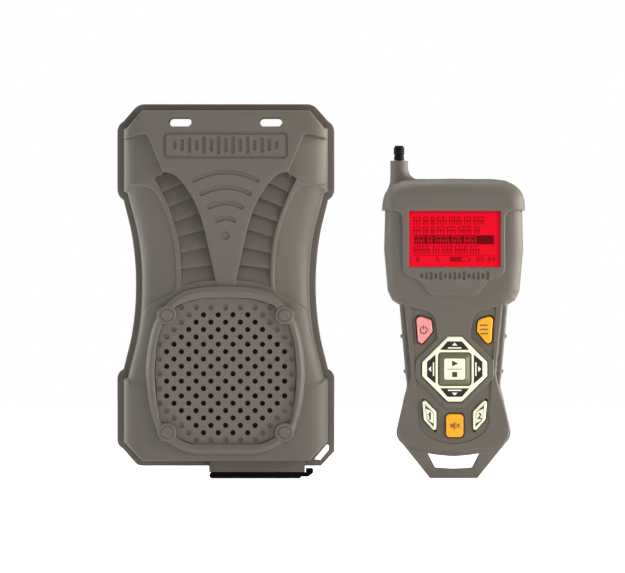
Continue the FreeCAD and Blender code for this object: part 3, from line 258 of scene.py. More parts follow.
def one_side(outer, holes, features, height, side):
    """Triangles with edges along the features, and a height for each point; side is 1 or, behind, -1."""
    loops = [outer] + holes
    points, edges = [], []
    for loop in loops:
        first = len(points)
        points += list(loop)
        edges += [(first + k, first + (k + 1) % len(loop)) for k in range(len(loop))]
    for line, keep, closed in features:
        keep = keep & (distance(line, outer) > 0.12)
        for hole in holes:
            keep &= distance(line, hole) < -0.12
        numbers = {}
        for k in np.flatnonzero(keep):
            numbers[k] = len(points)
            points.append(line[k])
        count = len(line)
        for k in numbers:
            after = (k + 1) % count if closed else k + 1
            if after in numbers:
                edges.append((numbers[k], numbers[after]))
    tree = KDTree(len(points))
    for k, p in enumerate(points):
        tree.insert((p[0], p[1], 0), k)
    tree.balance()
    low, high = outer.min(0), outer.max(0)
    for row, z in enumerate(np.arange(low[1] + GRID / 2, high[1], GRID * 0.87)):
        for x in np.arange(-0.5 * GRID * (row % 2) + low[0], high[0], GRID):
            if tree.find((x, z, 0))[2] > GRID * 0.55:
                points.append(np.array((x, z)))
    flat = [Vector(p) for p in points]
    verts, _, faces = delaunay_2d_cdt(flat, edges, [], 0, 1e-5)[:3]
    verts = np.array([tuple(v) for v in verts])
    faces = np.array([f for f in faces if len(f) == 3])
    centre = verts[faces].mean(1)
    inside = distance(centre, outer) > 0
    for hole in holes:
        inside &= distance(centre, hole) < 0
    faces = faces[inside]
    used = np.unique(faces)
    renumber = np.full(len(verts), -1)
    renumber[used] = np.arange(len(used))
    verts, faces = verts[used], renumber[faces]
    a, b, c = verts[faces[0]]
    if np.cross(b - a, c - a) * side < 0:
        faces = faces[:, ::-1]
    return verts, faces, height(verts)


def rim_edges(faces):
    """The edges that only one triangle has, in that triangle's order."""
    edges = np.vstack([faces[:, [0, 1]], faces[:, [1, 2]], faces[:, [2, 0]]])
    known = set(map(tuple, edges.tolist()))
    return [(a, b) for a, b in known if (b, a) not in known]


def relief(name, outer, holes, front, back, shift=0.0):
    """A shell between two height functions; front and back are (features, height)."""
    verts, faces, high = one_side(outer, holes, *front, 1)
    verts_behind, faces_behind, low = one_side(outer, holes, *back, -1)
    first = len(verts)
    by_place = {tuple(np.round(p, 4)): first + k for k, p in enumerate(verts_behind)}
    polygons = faces.tolist() + (faces_behind + first).tolist()
    for a, b in rim_edges(faces):
        c, d = (by_place.get(tuple(np.round(verts[k], 4))) for k in (b, a))
        if c is None or d is None:
            raise ValueError(f"{name}: the two sides of the shell don't share an edge at {verts[a]}")
        polygons.append((b, a, d, c))
    places = zip(np.vstack([verts, verts_behind]), np.append(high, low))
    return new_mesh(name, [((p[0] + shift) * MM, -h * MM, p[1] * MM) for p, h in places], polygons)


def new_mesh(name, verts, faces):
    mesh = bpy.data.meshes.new(name)
    mesh.from_pydata(verts, [], faces)
    mesh.update()
    mesh.polygons.foreach_set("use_smooth", [True] * len(mesh.polygons))
    mesh.set_sharp_from_angle(angle=SHARP_EDGE)
    piece = bpy.data.objects.new(name, mesh)
    bpy.context.scene.collection.objects.link(piece)
    return piece


# ---------------------------------------------------------------- sizes of the caller
PLATEAU = 26.0              # general front surface, in front of the parting plane
PANEL = 29.5                # raised panel across the top
CREST = 30.4                # top of the rim round the grille
FLANGE = 3.0
BODY_EDGE = 1.0             # radius where the front turns into the top and bottom walls
SIDE_WIDE, SIDE_DEEP, SIDE_POWER = 12.0, 6.5, 2.4
TILT_REACH, TILT, TILT_MORE = 18.0, 0.07, 0.11    # the front falls away near the sides, more higher up
FLANK_DROP = 1.4            # the flanks lie lower
V_TIP = 26.3                # level of the raised panel at the tip of its V
LOUVRE_CREST, LOUVRE_DEEP, LOUVRE_FALL = 25.5, 22.9, 1.1     # two levels, and how far both change along
RAIL_EDGE, PANEL_EDGE, LOUVRE_EDGE = 1.3, 0.8, 0.5
RIM_STEP, RIM_SLOPE, RIM_INNER = 0.5, 2.4, 3.4    # widths: outer step, outer slope, inner slope
BODY_FOOT = 0.35            # width of the step from the flange up to the body
WALL = 3.0
CAVITY_STEP, STEP_WIDE, CAVITY_DEEP = 13.0, 8.0, 21.0   # the cavity is shallower near the walls
GASKET, GASKET_DEEP = (0.6, 2.0), 0.8    # groove for the shell gasket: near and far side, depth
SPEAKER_Z = 57.8
SCREW_PITCH = 32.3          # half the pitch of the four corner screws
BOSS_R, CAP_HOLE_R = 5.25, 3.2
SPEAKER_SEAT, SEAT_LEVEL = (0, 58.6, 40.5, 41.6, 10), 23.0
THINNEST, REMOTE_THINNEST = 1.6, 1.4    # least thickness of the two front shells
SHELL_SCREWS = [(side * x, z) for side in (-1, 1) for x, z in ((44, 30), (37, 138), (43.5, 180))]
BOARD_SCREWS = [(x, z) for x in (-26, 26) for z in (118, 178)]
POSTS = [   # places, radii of post and hole, level of the post's end and of the hole's bottom
    (SHELL_SCREWS, 4.0, 1.5, 0.0, 11.0),
    (BOARD_SCREWS, 3.0, 1.3, 14.0, 20.0)]
CORNERS = [(sx * SCREW_PITCH, SPEAKER_Z + sz * SCREW_PITCH) for sx in (-1, 1) for sz in (-1, 1)]
BAY = (-9.2, 43.7, 3.3, 12.0)   # port bay under the base: left, right, bottom, top
BAY_WALL = 3.0
WAIST = ("curve", (48.1, 82), (46.3, 107), (48.1, 132), (54.3, 157.3))
V_EDGE = [(7.8, 118.7), (9.9, 128.4), (12.0, 137.7), (14.7, 146.6), (18.1, 154.3), (20.7, 158.5),
          (24.0, 163.2), (27.8, 167.0), (31.7, 168.7)]
GILLS = [   # outer and inner end of each louvre's upper line, on the left, from the top down
    ((-39.1, 165.7), (-33.3, 168.7)),
    ((-35.0, 157.8), (-24.5, 162.7)),
    ((-31.4, 149.7), (-18.6, 154.8)),
    ((-28.6, 141.5), (-14.7, 146.2)),
    ((-26.4, 133.2), (-11.9, 137.1)),
    ((-25.2, 124.3), (-9.6, 127.5)),
    ((-24.7, 115.5), (-7.5, 117.7)),
    ((-24.7, 105.6), (-5.8, 109.4)),
]
FAN_DOT, FAN_DOT_R, FAN_RADII, FAN_WIDTH = (0, 134.0), 2.3, (9.5, 18.0, 26.5, 35.0), 2.4
PLATE = (0, 183.8, 33.6, 6.6, 2.0)     # middle, half sides and corner radius of the framed plate
PLATE_FRAME, FRAME_DEPTH, MOTIF_DEPTH = 1.5, 0.7, 0.8
BARS_Z, BAR_PITCH, BAR_WIDTH = 183.9, 4.0, 2.0
CAP_WELL = 3.4
LANYARD_SLOT = np.array([(48.9, 10.4), (52.2, 10.0), (56.9, 15.5), (56.9, 18.0), (55.8, 18.7)])
SLOT_X, SLOT_Z, SLOT_HALF, SLOT_CUT, SLOT_WALL = 25.0, 196.5, (6.15, 2.32), 1.5, 2.0


def caller_outline():
    """Outer edge of the flange, with the port bay below it and the lanyard ear at the right."""
    left = trace(
        (-9.2, 6.8), (-46.3, 6.8), ("curve", (-48.3, 7.2), (-50.0, 8.4)), (-56.9, 16.4),
        ("curve", (-59.2, 18.4), (-60, 21)), (-60, 55.3), ("curve", (-59.1, 58.1), (-56.5, 60.3)),
        ("curve", (-51.4, 83.0), (-49.7, 107), (-51.4, 131), (-56.5, 153.6)),
        ("curve", (-59.1, 156.2), (-60, 159.3)), (-60, 191.9),
        ("curve", (-59.0, 194.9), (-56.5, 197.3)), (-51.0, 203.6),
        ("curve", (-48.3, 205.9), (-45.0, 206.7)), (0, 206.7))
    right = left[left[:, 1] >= 21.0][::-1] * (-1, 1)
    ear = trace((60, 21), (60, 14.9), (52.6, 6.8), (43.7, 6.8), (43.7, 3.3), (40.7, 3.3), (-6.2, 3.3),
                (-9.2, 3.3))
    return np.vstack([left[:-1], right, ear[1:]])[::-1]


def body_outline():
    """The front inside its flange: chamfered corners, shoulders and a narrow waist."""
    return symmetric((0, 9.4), (46.1, 9.4), (56.4, 20.2), (56.4, 54.9), (54.1, 55.8), WAIST,
                     (56.4, 158.3), (56.4, 193), (54.5, 193.7), (46.3, 203.2), (0, 203.2))


def side_outline():
    """The body's sides without its chamfers: the side edges roll over along this line."""
    return symmetric((0, -20), (56.4, -20), (56.4, 54.9), (54.1, 55.8), WAIST,
                     (56.4, 158.3), (56.4, 230), (0, 230))


def panel_outline():
    """The raised panel: full width at the shoulders, narrowing to a V over the speaker."""
    return symmetric(
        (0, 90), (2.0, 90), (5.8, 109.4), ("curve", *V_EDGE, (34.6, 168.9)),
        (42.2, 187.2), ("curve", (43.2, 189.0), (44.6, 189.9), (46.6, 189.9)),
        (56.0, 187.0), (75, 181), (75, 225), (0, 225))


def gill_bay():
    """The bay beside the V that holds the louvres, on the left."""
    outer_ends = [outer for outer, _ in GILLS]
    return trace(
        outer_ends[0], ("curve", *outer_ends[1:]),
        ("curve", (-19.5, 107.6), (-13.0, 108.9), (-5.8, 109.4)),
        ("curve", *[(-x, z) for x, z in V_EDGE], (-33.3, 168.7)))


def flank_outline():
    """The hollow flank on the left, between the rail beside the louvres and the caller's edge."""
    return trace(
        (-75, 161.8), (-56.2, 161.8),
        ("curve", (-50, 161.2), (-44.8, 160.5), (-40.9, 159.4), (-38.0, 156.8)),
        ("curve", (-34.2, 149.1), (-31.2, 141.1), (-29.1, 132.7), (-27.8, 124.1), (-27.2, 114.0),
         (-27.2, 107.2)),
        ("curve", (-27.8, 104.4), (-29.8, 102.2), (-35.4, 99.6)),
        ("curve", (-40.8, 96.6), (-44.4, 93.8), (-46.3, 90.2), (-47.2, 83.0)),
        (-54.1, 55.9), (-75, 55.9))[::-1]


def rim_outline():
    return symmetric(
        (0, 13.05), (16.0, 13.05),
        ("curve", (24.9, 15.3), (32.5, 19.9), (37.6, 25.8), (40.3, 32.5), (42.6, 41.5), (43.7, 51.0),
         (44.2, 60.0), (43.4, 69.4), (41.5, 79.8), (39.2, 86.6), (35.4, 93.0), (29.0, 99.8),
         (21.9, 104.0), (12.0, 105.9), (1.0, 106.5)), (0, 106.5))


def grille_outline():
    """Edge of the recessed grille, with the four corner bosses standing into it."""
    edge = symmetric(
        (0, 19.0), (17.3, 19.0),
        ("curve", (20.7, 19.7), (27.0, 22.9), (35.0, 29.9), (37.6, 39.4), (38.9, 54.2), (39.0, 59.9),
         (37.7, 74.4), (35.0, 84.4)),
        ("curve", (28.1, 93.8), (23.2, 96.6), (14.1, 99.0), (0, 99.7)))
    for x, z in CORNERS:
        edge = bulged(edge, (x, z), BOSS_R)
    return edge


def bulged(loop, centre, radius):
    """The loop with a round boss standing into it: the stretch inside the circle becomes an arc."""
    loop = spread(loop, 1.0)
    near = np.linalg.norm(loop - centre, axis=1) < radius
    first = int(np.flatnonzero(near & ~np.roll(near, 1))[0])
    loop, near = np.roll(loop, -first, 0), np.roll(near, -first)
    count = int(near.sum())
    start, end = (math.atan2(*(loop[k] - centre)[::-1]) for k in (-1, count))
    middle = math.atan2(SPEAKER_Z - centre[1], -centre[0])
    start, end = (middle + (a - middle + math.pi) % (2 * math.pi) - math.pi for a in (start, end))
    turns = np.linspace(start, end, 14)[1:-1]
    arc = np.stack([centre[0] + radius * np.cos(turns), centre[1] + radius * np.sin(turns)], 1)
    return np.vstack([arc, loop[count:]])


def slot_outline(x):
    """A hanging slot: long, with cut corners."""
    half_x, half_z = SLOT_HALF
    return np.array([(x + sx * (half_x - cx), SLOT_Z + sz * (half_z - cz)) for sx, sz, cx, cz in (
        (1, -1, SLOT_CUT, 0), (1, -1, 0, SLOT_CUT), (1, 1, 0, SLOT_CUT), (1, 1, SLOT_CUT, 0),
        (-1, 1, SLOT_CUT, 0), (-1, 1, 0, SLOT_CUT), (-1, -1, 0, SLOT_CUT), (-1, -1, SLOT_CUT, 0))])


def on_side(loop, side):
    """A closed outline of the left side, or its mirror image on the right, still the same way round."""
    return loop if side < 0 else (loop * (-1, 1))[::-1]


# ---------------------------------------------------------------- front shell of the caller
def sound_fan():
    """Generic motif for the V panel: arcs spreading from a dot, as middle lines of grooves."""
    return [arc_line(*FAN_DOT, radius, 60, 120, max(8, int(radius / 1.2))) for radius in FAN_RADII]


def level_bars():
    """Generic motif for the plate: a row of upright bars of different heights."""
    half_heights = [3.0, 4.0, 2.6, 3.8, 1.8, 3.4, 2.2, 1.2]
    places = range(1 - len(half_heights), len(half_heights))
    return [upright(BAR_PITCH * k, BARS_Z, half_heights[abs(k)]) for k in places]


class CallerFront:
    """Height of the caller's front, and the lines where it changes."""

    def __init__(self):
        self.outer = spread(caller_outline(), 1.6)
        self.body, self.side, self.panel = body_outline(), side_outline(), panel_outline()
        self.bay, self.flank = soft_corners(gill_bay(), 0.5), soft_corners(flank_outline(), 1.2)
        self.rim, self.grille = rim_outline(), grille_outline()
        self.plate = rounded_box(*PLATE)
        self.slots = [spread(slot_outline(x), 1.5) for x in (-SLOT_X, SLOT_X)]
        self.holes = [spread(self.grille, 1.0), spread(LANYARD_SLOT, 1.2)] + self.slots
        self.grooves = [(arc, FAN_WIDTH) for arc in sound_fan()]
        self.grooves += [(bar, BAR_WIDTH) for bar in level_bars()]

    def features(self):
        """Constraint lines where the front turns, each at the gaps that its profile needs."""
        lines = lines_round(self.outer, (0.25, 0.6), 1.6)
        lines += lines_round(self.body, (0.0, 0.35, 0.65, 1.0, 1.5), 1.6)
        lines += lines_round(self.side, (0.9, 1.8, 3.0, 4.4, 6.0, 8.0, 10.0, 12.0), 2.4)
        lines += lines_round(self.panel, stand_gaps(PANEL_EDGE), 1.4)
        lines += lines_round(self.rim, (0.0, 0.4, 0.6, 1.6, 2.4, 2.9, RIM_INNER), 1.3)
        lines += lines_round(self.grille, (-0.15, -0.4, -0.8, -2.4, -RIM_INNER), 1.2)
        for side in (-1, 1):
            bay, flank = (on_side(line, side) for line in (self.bay, self.flank))
            lines += lines_round(bay, [-gap for gap in stand_gaps(LOUVRE_EDGE)], 1.2)
            lines += lines_round(flank, [-gap for gap in stand_gaps(RAIL_EDGE)], 1.5)
            for ends in GILLS[1:-1]:
                line = np.array(ends) * (-side, 1)
                gaps = (side * STEEP, 0.0, -side * 0.2, -side * LOUVRE_EDGE)
                lines += lines_round(line, gaps, 1.5, closed=False)
        boss_radii = [CAP_HOLE_R + gap for gap in (0, 0.05, 0.45)]
        boss_radii += [BOSS_R + gap for gap in (-0.7, -0.3, 0, 0.5)]
        for x, z in CORNERS:
            lines += rings(x, z, boss_radii, 40)
        half = PLATE_FRAME / 2
        lines += lines_round(self.plate, (-half, GROOVE_SIDE - half, half - GROOVE_SIDE, half), 1.4)
        for line, width in self.grooves:
            lines += groove_lines(line, width)
        return lines + rings(*FAN_DOT, (FAN_DOT_R - GROOVE_SIDE, FAN_DOT_R), 24)

    def height(self, p):
        """The front: flanks, louvres, panel and rim in turn, then the rolled sides and the flange."""
        z, x = p[:, 1], np.abs(p[:, 0])
        q = np.stack([-x, z], 1)
        d_body, d_side = distance(q, self.body), distance(q, self.side)
        d_side = np.maximum(d_side, 0)
        base = PLATEAU - (TILT + TILT_MORE * ramp(z - 90, 40)) * np.maximum(TILT_REACH - d_side, 0)
        low_flank = base - FLANK_DROP
        base = stand(low_flank, base, -distance(q, self.flank), RAIL_EDGE)
        base = stand(self.louvres(q), base, -distance(q, self.bay), LOUVRE_EDGE)
        panel = V_TIP + (PANEL - V_TIP) * ramp(z - 100, 75)
        base = stand(base, panel, distance(q, self.panel), PANEL_EDGE)
        base = self.raise_rim(q, base)
        base -= roll(d_side, SIDE_WIDE, SIDE_DEEP, SIDE_POWER)
        base -= self.engraving(p, q)
        base -= roll(np.maximum(d_body - BODY_FOOT, 0), 0.9, BODY_EDGE)
        flange = FLANGE - roll(distance(p, self.outer), 0.6, 0.5)
        in_bay = (p[:, 0] > BAY[0] - 0.01) & (p[:, 0] < BAY[1] + 0.01) & (z < 9.6)
        bay_front = CAVITY_STEP - roll(z - BAY[2], 0.6, 0.5) * (z <= 6.7)
        flange = np.where(in_bay, bay_front, flange)
        return flange + (np.maximum(base, flange) - flange) * np.clip(d_body / BODY_FOOT, 0, 1)

    def louvres(self, q):
        """Each louvre is deepest along its upper line and rises to its lower one."""
        level = np.full(len(q), PLATEAU)
        last_one = len(GILLS) - 2
        for k, (top, bottom) in enumerate(zip(GILLS, GILLS[1:])):
            below, above = -side_of(q, *top), side_of(q, *bottom)
            share = np.clip(below / np.maximum(below + above, 1e-6), 0, 1)
            run = np.array(bottom[1]) - np.array(bottom[0])
            along = np.clip((q - bottom[0]) @ run / (run @ run), 0, 1)
            crest, deep = LOUVRE_CREST - LOUVRE_FALL * along, LOUVRE_DEEP - LOUVRE_FALL * along
            here = deep + (crest - deep) * share
            here -= roll(above, LOUVRE_EDGE, LOUVRE_EDGE) * (k < last_one)
            if k:
                lip = crest - LOUVRE_EDGE
                here = lip + (here - lip) * np.clip(below / STEEP, 0, 1)
            chosen = (below >= 0) & (above >= 0) if k < last_one else below >= 0
            level = np.where(chosen, here, level)
        return level

    def raise_rim(self, q, base):
        """The rim: outer slope, crest, gentle inner slope and the fall to the grille."""
        d_rim, d_grille = distance(q, self.rim), -distance(q, self.grille)
        rise = CREST - base
        slope = base + 0.6 * rise * np.clip(d_rim / RIM_STEP, 0, 1)
        slope += 0.4 * rise * np.clip((d_rim - RIM_STEP) / RIM_SLOPE, 0, 1)
        crest = soft_min(slope, CREST - 0.8 * (1 - np.clip(d_grille / RIM_INNER, 0, 1)), 0.5)
        crest = np.where(d_rim > 0, crest, base)
        for x, z in CORNERS[:2]:
            away = np.hypot(q[:, 0] - x, q[:, 1] - z)
            top = CREST + 0.1 - roll(BOSS_R - away, 0.7, 0.5) - roll(away - CAP_HOLE_R, 0.45, 0.3)
            top = np.where(away < CAP_HOLE_R + 0.02, CREST - CAP_WELL, top)
            crest = np.where(away < BOSS_R, top, crest)
        return crest - roll(np.maximum(d_grille, 0), 0.8, 0.7) * (d_rim > 0)

    def engraving(self, p, q):
        """Depth of the plate's frame and of the two motifs."""
        depth = groove(distance(q, self.plate), PLATE_FRAME, FRAME_DEPTH)
        for line, width in self.grooves:
            depth = np.maximum(depth, groove(distance(p, line, closed=False), width, MOTIF_DEPTH))
        away = np.hypot(p[:, 0] - FAN_DOT[0], p[:, 1] - FAN_DOT[1])
        return np.maximum(depth, groove(away, 2 * FAN_DOT_R, MOTIF_DEPTH))

    def back_features(self):
        near, far = GASKET
        walls = (near, near + STEEP, far, far + STEEP, WALL, WALL + 0.1, STEP_WIDE, STEP_WIDE + 0.1)
        lines = lines_round(self.body, walls, 2.4)
        for wire in [rounded_box(*SPEAKER_SEAT)] + [spread(box, 3) for box in self.rooms()]:
            lines += lines_round(wire, (0.0, STEEP), 2.4)
        for posts in POSTS:
            lines += post_lines(posts)
        for slot in self.slots:
            lines += lines_round(slot, (-SLOT_WALL, -SLOT_WALL - 0.1), 1.6)
        return lines

    def rooms(self):
        """Rooms of the port bay: open recess, seat of the panel, room over the panel."""
        left, right, bottom, top = BAY
        return [box_outline(left + BAY_WALL, right - BAY_WALL, bottom - 2, 8.6),
                box_outline(left + 2, right - 2, 8.6, 10.6),
                box_outline(left + 5, right - 5, 10.6, top + 1)]

    def back_height(self, p):
        """The hollow behind: cavity, gasket groove, speaker seat, posts and rooms of the port bay."""
        d_body = distance(p, self.body)
        near, far = GASKET
        deep = np.where(d_body > WALL + 0.05, CAVITY_STEP, 0.0)
        deep = np.where(d_body > STEP_WIDE + 0.05, CAVITY_DEEP, deep)
        in_groove = (d_body > near + STEEP / 2) & (d_body < far + STEEP / 2) & (p[:, 1] > 14)
        deep = np.where(in_groove, GASKET_DEEP, deep)
        deep = np.where(distance(p, rounded_box(*SPEAKER_SEAT)) > STEEP / 2, SEAT_LEVEL, deep)
        for posts in POSTS:
            deep = with_posts(p, deep, posts)
        for slot in self.slots:
            deep = np.where(distance(p, slot) > -SLOT_WALL - 0.05, 0.0, deep)
        for box, level in zip(self.rooms(), (10.0, 11.0, 8.0)):
            deep = np.where(distance(p, box) > STEEP / 2, level, deep)
        return np.minimum(deep, np.maximum(self.height(p) - THINNEST, 0.0))

    def build(self):
        return relief("front_casing", self.outer, self.holes, (self.features(), self.height),
                      (self.back_features(), self.back_height))


def post_lines(posts):
    """Constraint lines round screw posts and their holes."""
    places, post, hole, _, _ = posts
    return [line for x, z in places for line in rings(x, z, (hole, hole + 0.1, post, post + 0.1), 20)]


def with_posts(p, deep, posts):
    """The levels behind, with screw posts and the blind holes in them."""
    places, post, hole, level, bottom = posts
    for x, z in places:
        away = np.hypot(p[:, 0] - x, p[:, 1] - z)
        deep = np.where(away < post + 0.05, level, deep)
        deep = np.where(away < hole + 0.05, bottom, deep)
    return deep


def side_of(points, a, b):
    """Distance above the line through two points, seen with the first point on the left."""
    a, b = np.array(a), np.array(b)
    run = (b - a) / np.linalg.norm(b - a)
    gap = points - a
    return run[0] * gap[:, 1] - run[1] * gap[:, 0]


def groove_lines(line, width):
    """Constraint lines round a groove with round ends."""
    lines = [whole(spread(line, 1.2, closed=False), closed=False)]
    for gap in (width / 2 - GROOVE_SIDE, width / 2):
        left, right = offset(line, gap, closed=False), offset(line, -gap, closed=False)
        caps = []
        for end, before in ((line[-1], line[-2]), (line[0], line[1])):
            along = math.atan2(*(end - before)[::-1])
            turns = along + np.linspace(-math.pi / 2, math.pi / 2, 7)
            caps.append(np.stack([end[0] + gap * np.cos(turns), end[1] + gap * np.sin(turns)], 1))
        right, left = (spread(side, 1.2, closed=False) for side in (right, left))
        lines.append(whole(np.vstack([right, caps[0], left[::-1], caps[1]])))
    return lines


# ---------------------------------------------------------------- sizes of the remote
KEYPAD, FLARE, HEAD = 12.2, 13.0, 14.3       # front levels, from the keypad up to the head
STRIP = 7.0                 # side strips beside the grip
BEZEL_LOW, BEZEL_HIGH = 15.3, 16.8
ROOM_DEEP, POCKET_DEEP = 11.0, 12.4     # levels behind: cavity and display pocket
LOOP_THIN, LOOP_THICK = 6.5, 11.5
SURROUND = FLARE + 0.3      # level of the pad's surround, where the raised head begins
GRIP_ROLL, HEAD_ROLL = 1.6, 8.0     # how far the edges of the grip and of the head roll over
HOOD_WIDE, HOOD_DEEP = 9.5, 9.0
HEAD_EDGE, BEZEL_EDGE, GRIP_EDGE, CREASE_EDGE = 0.7, 0.9, 1.2, 0.8
FACE_X = 0.5                # display, pad and mute key sit this far right of the middle
PAD_Z, PAD_HALF, PAD_FLAT = 60.3, 17.9, 3.9
SURROUND_HALF, SURROUND_FLAT = 21.7, 4.8
KEY_GAP = 0.55
REMOTE_SCREWS = [(side * x, z) for side in (-1, 1) for x, z in ((22.5, 34), (23, 104))]
REMOTE_POSTS = (REMOTE_SCREWS, 3.0, 1.1, 0.0, 8.5)
LCD = (-24.7, 25.9, 116.6, 147.7)            # window: left, right, bottom, top
HOOD_CURVE = ("curve", (39.0, 153.7), (37.4, 158.1), (34.3, 161.4), (30.4, 163.6), (26.4, 164.7),
              (13, 165.3))
# corners of the left keys, from the middle of the face; the right ones mirror them
POWER_KEY = [(-21.3, 90.2), (-13.0, 87.5), (-12.1, 81.2), (-17.9, 74.2), (-20.2, 75.2)]
PRESET_KEY = [(-18.1, 44.8), (-10.1, 36.8), (-10.2, 24.8), (-17.0, 32.4)]
MUTE = (FACE_X, 29.1)
FACE_BARS_Z, FACE_BAR_PITCH, FACE_BAR_WIDTH, FACE_BAR_DEPTH = 111.9, 2.6, 1.5, 0.9
REMOTE_X = sum(corner[0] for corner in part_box("remote_front_shell")) / 2 / MM


def remote_outline(hood=True):
    """Flared foot, waist, shoulders and head; the hood stands out past the head's sides."""
    with_hood = [(37.9, 147.8), (39.5, 147.8), HOOD_CURVE, (0, 165.5)]
    without = [(37.8, 150), (34, 161), (0, 161)]
    return symmetric((0, 0), (13.2, 0), (28.1, 18.7), ("curve", (30.4, 22.6), (31.2, 27.8)),
                     (27.2, 45.3), ("curve", (25.9, 51.0), (26.5, 57.0)), (29.9, 95.8), (34.0, 98.3),
                     (36.4, 103.4), (38.4, 126.0), *(with_hood if hood else without))


def head_outline():
    """Raised head, with the tongue that runs down between the two upper keys."""
    return symmetric((0, 60), (8.6, 60), (8.6, 76), (9.3, 78.1),
                     ("curve", (10, 84.6), (11, 89.1), (13.5, 91.5), (18.8, 93.3)), (27.6, 95.8),
                     ("curve", (31.4, 97.6), (34.5, 99.0), (36.0, 101.0)),
                     (60, 110), (60, 200), (0, 200))


def bezel_outline():
    """The display's surround and the hood over it, as one surface."""
    return symmetric((0, 100.7), (12.4, 100.7), ("curve", (14.2, 102.1), (17.4, 106.7), (18.8, 108.4)),
                     ("curve", (22.8, 110.4), (26.9, 112.4), (28.4, 115.2)), (28.4, 143.5),
                     ("curve", (29.4, 146.2), (32.0, 147.8)), (60, 147.8), (60, 200), (0, 200))


def hood_sides():
    """The hood's outline, run on below it: its edge rolls over along this line."""
    return symmetric((0, -60), (39.5, -60), (39.5, 147.8), HOOD_CURVE, (0, 165.5))


def grip_outline():
    """The grip's front face, between the ribs that run down beside the keys to the flared foot."""
    return symmetric((0, -20), (60, -20), (60, 38), (27.8, 43.0),
                     ("curve", (25.0, 50.3), (23.3, 58.1)), (26.3, 87.3), (27.3, 97),
                     (60, 110), (60, 200), (0, 200))


def keypad_outline():
    """The sunk keypad: straight sides and a round lower end."""
    return symmetric((0, 18.7), ("curve", (9.5, 20.6), (16.0, 24.4), (19.0, 28.2), (19.9, 33.0)),
                     (20.3, 45.0), (21.8, 66.0), (23.4, 95.0), (23.4, 120), (0, 120))


def diamond(half, flat):
    """A square on its corner with the corners cut off, round the pad's middle."""
    corners = [(flat, half), (half, flat), (half, -flat), (flat, -half)]
    corners += [(-x, -z) for x, z in corners]
    return np.array([(FACE_X + x, PAD_Z + z) for x, z in corners])[::-1]


def soft_corners(points, radius, grow=0.0):
    """A closed outline through the points, anticlockwise, grown outwards and with round corners."""
    points = offset(np.array(points, float), -grow)
    loop = []
    for before, here, after in zip(np.roll(points, 1, 0), points, np.roll(points, -1, 0)):
        back, ahead = before - here, after - here
        first, second = (reach / np.linalg.norm(reach) for reach in (back, ahead))
        half_angle = math.acos(np.clip(first @ second, -1, 1)) / 2
        if half_angle > math.radians(75):
            loop.append(here)
            continue
        reach = min(radius / math.tan(half_angle),
                    0.45 * np.linalg.norm(back), 0.45 * np.linalg.norm(ahead))
        start, end = here + first * reach, here + second * reach
        for t in np.linspace(0, 1, 6):
            loop.append((1 - t)**2 * start + 2 * t * (1 - t) * here + t**2 * end)
    return np.array(loop)


def sided(points, side):
    """Points given from the face's middle, on the left (-1) or mirrored to the right (1)."""
    flipped = [(FACE_X - side * x, z) for x, z in points]
    return flipped if side > 0 else flipped[::-1]


def upper_key(side, grow=0.0):
    return soft_corners(sided(POWER_KEY, side), 2.2 + grow, grow)


def preset_key(side, grow=0.0):
    return soft_corners(sided(PRESET_KEY, side), max(0.2, 1.2 + grow), grow)


def mute_key(grow=0.0):
    return rounded_box(*MUTE, 4.8 + grow, 6.4 + grow, 2.2 + grow)


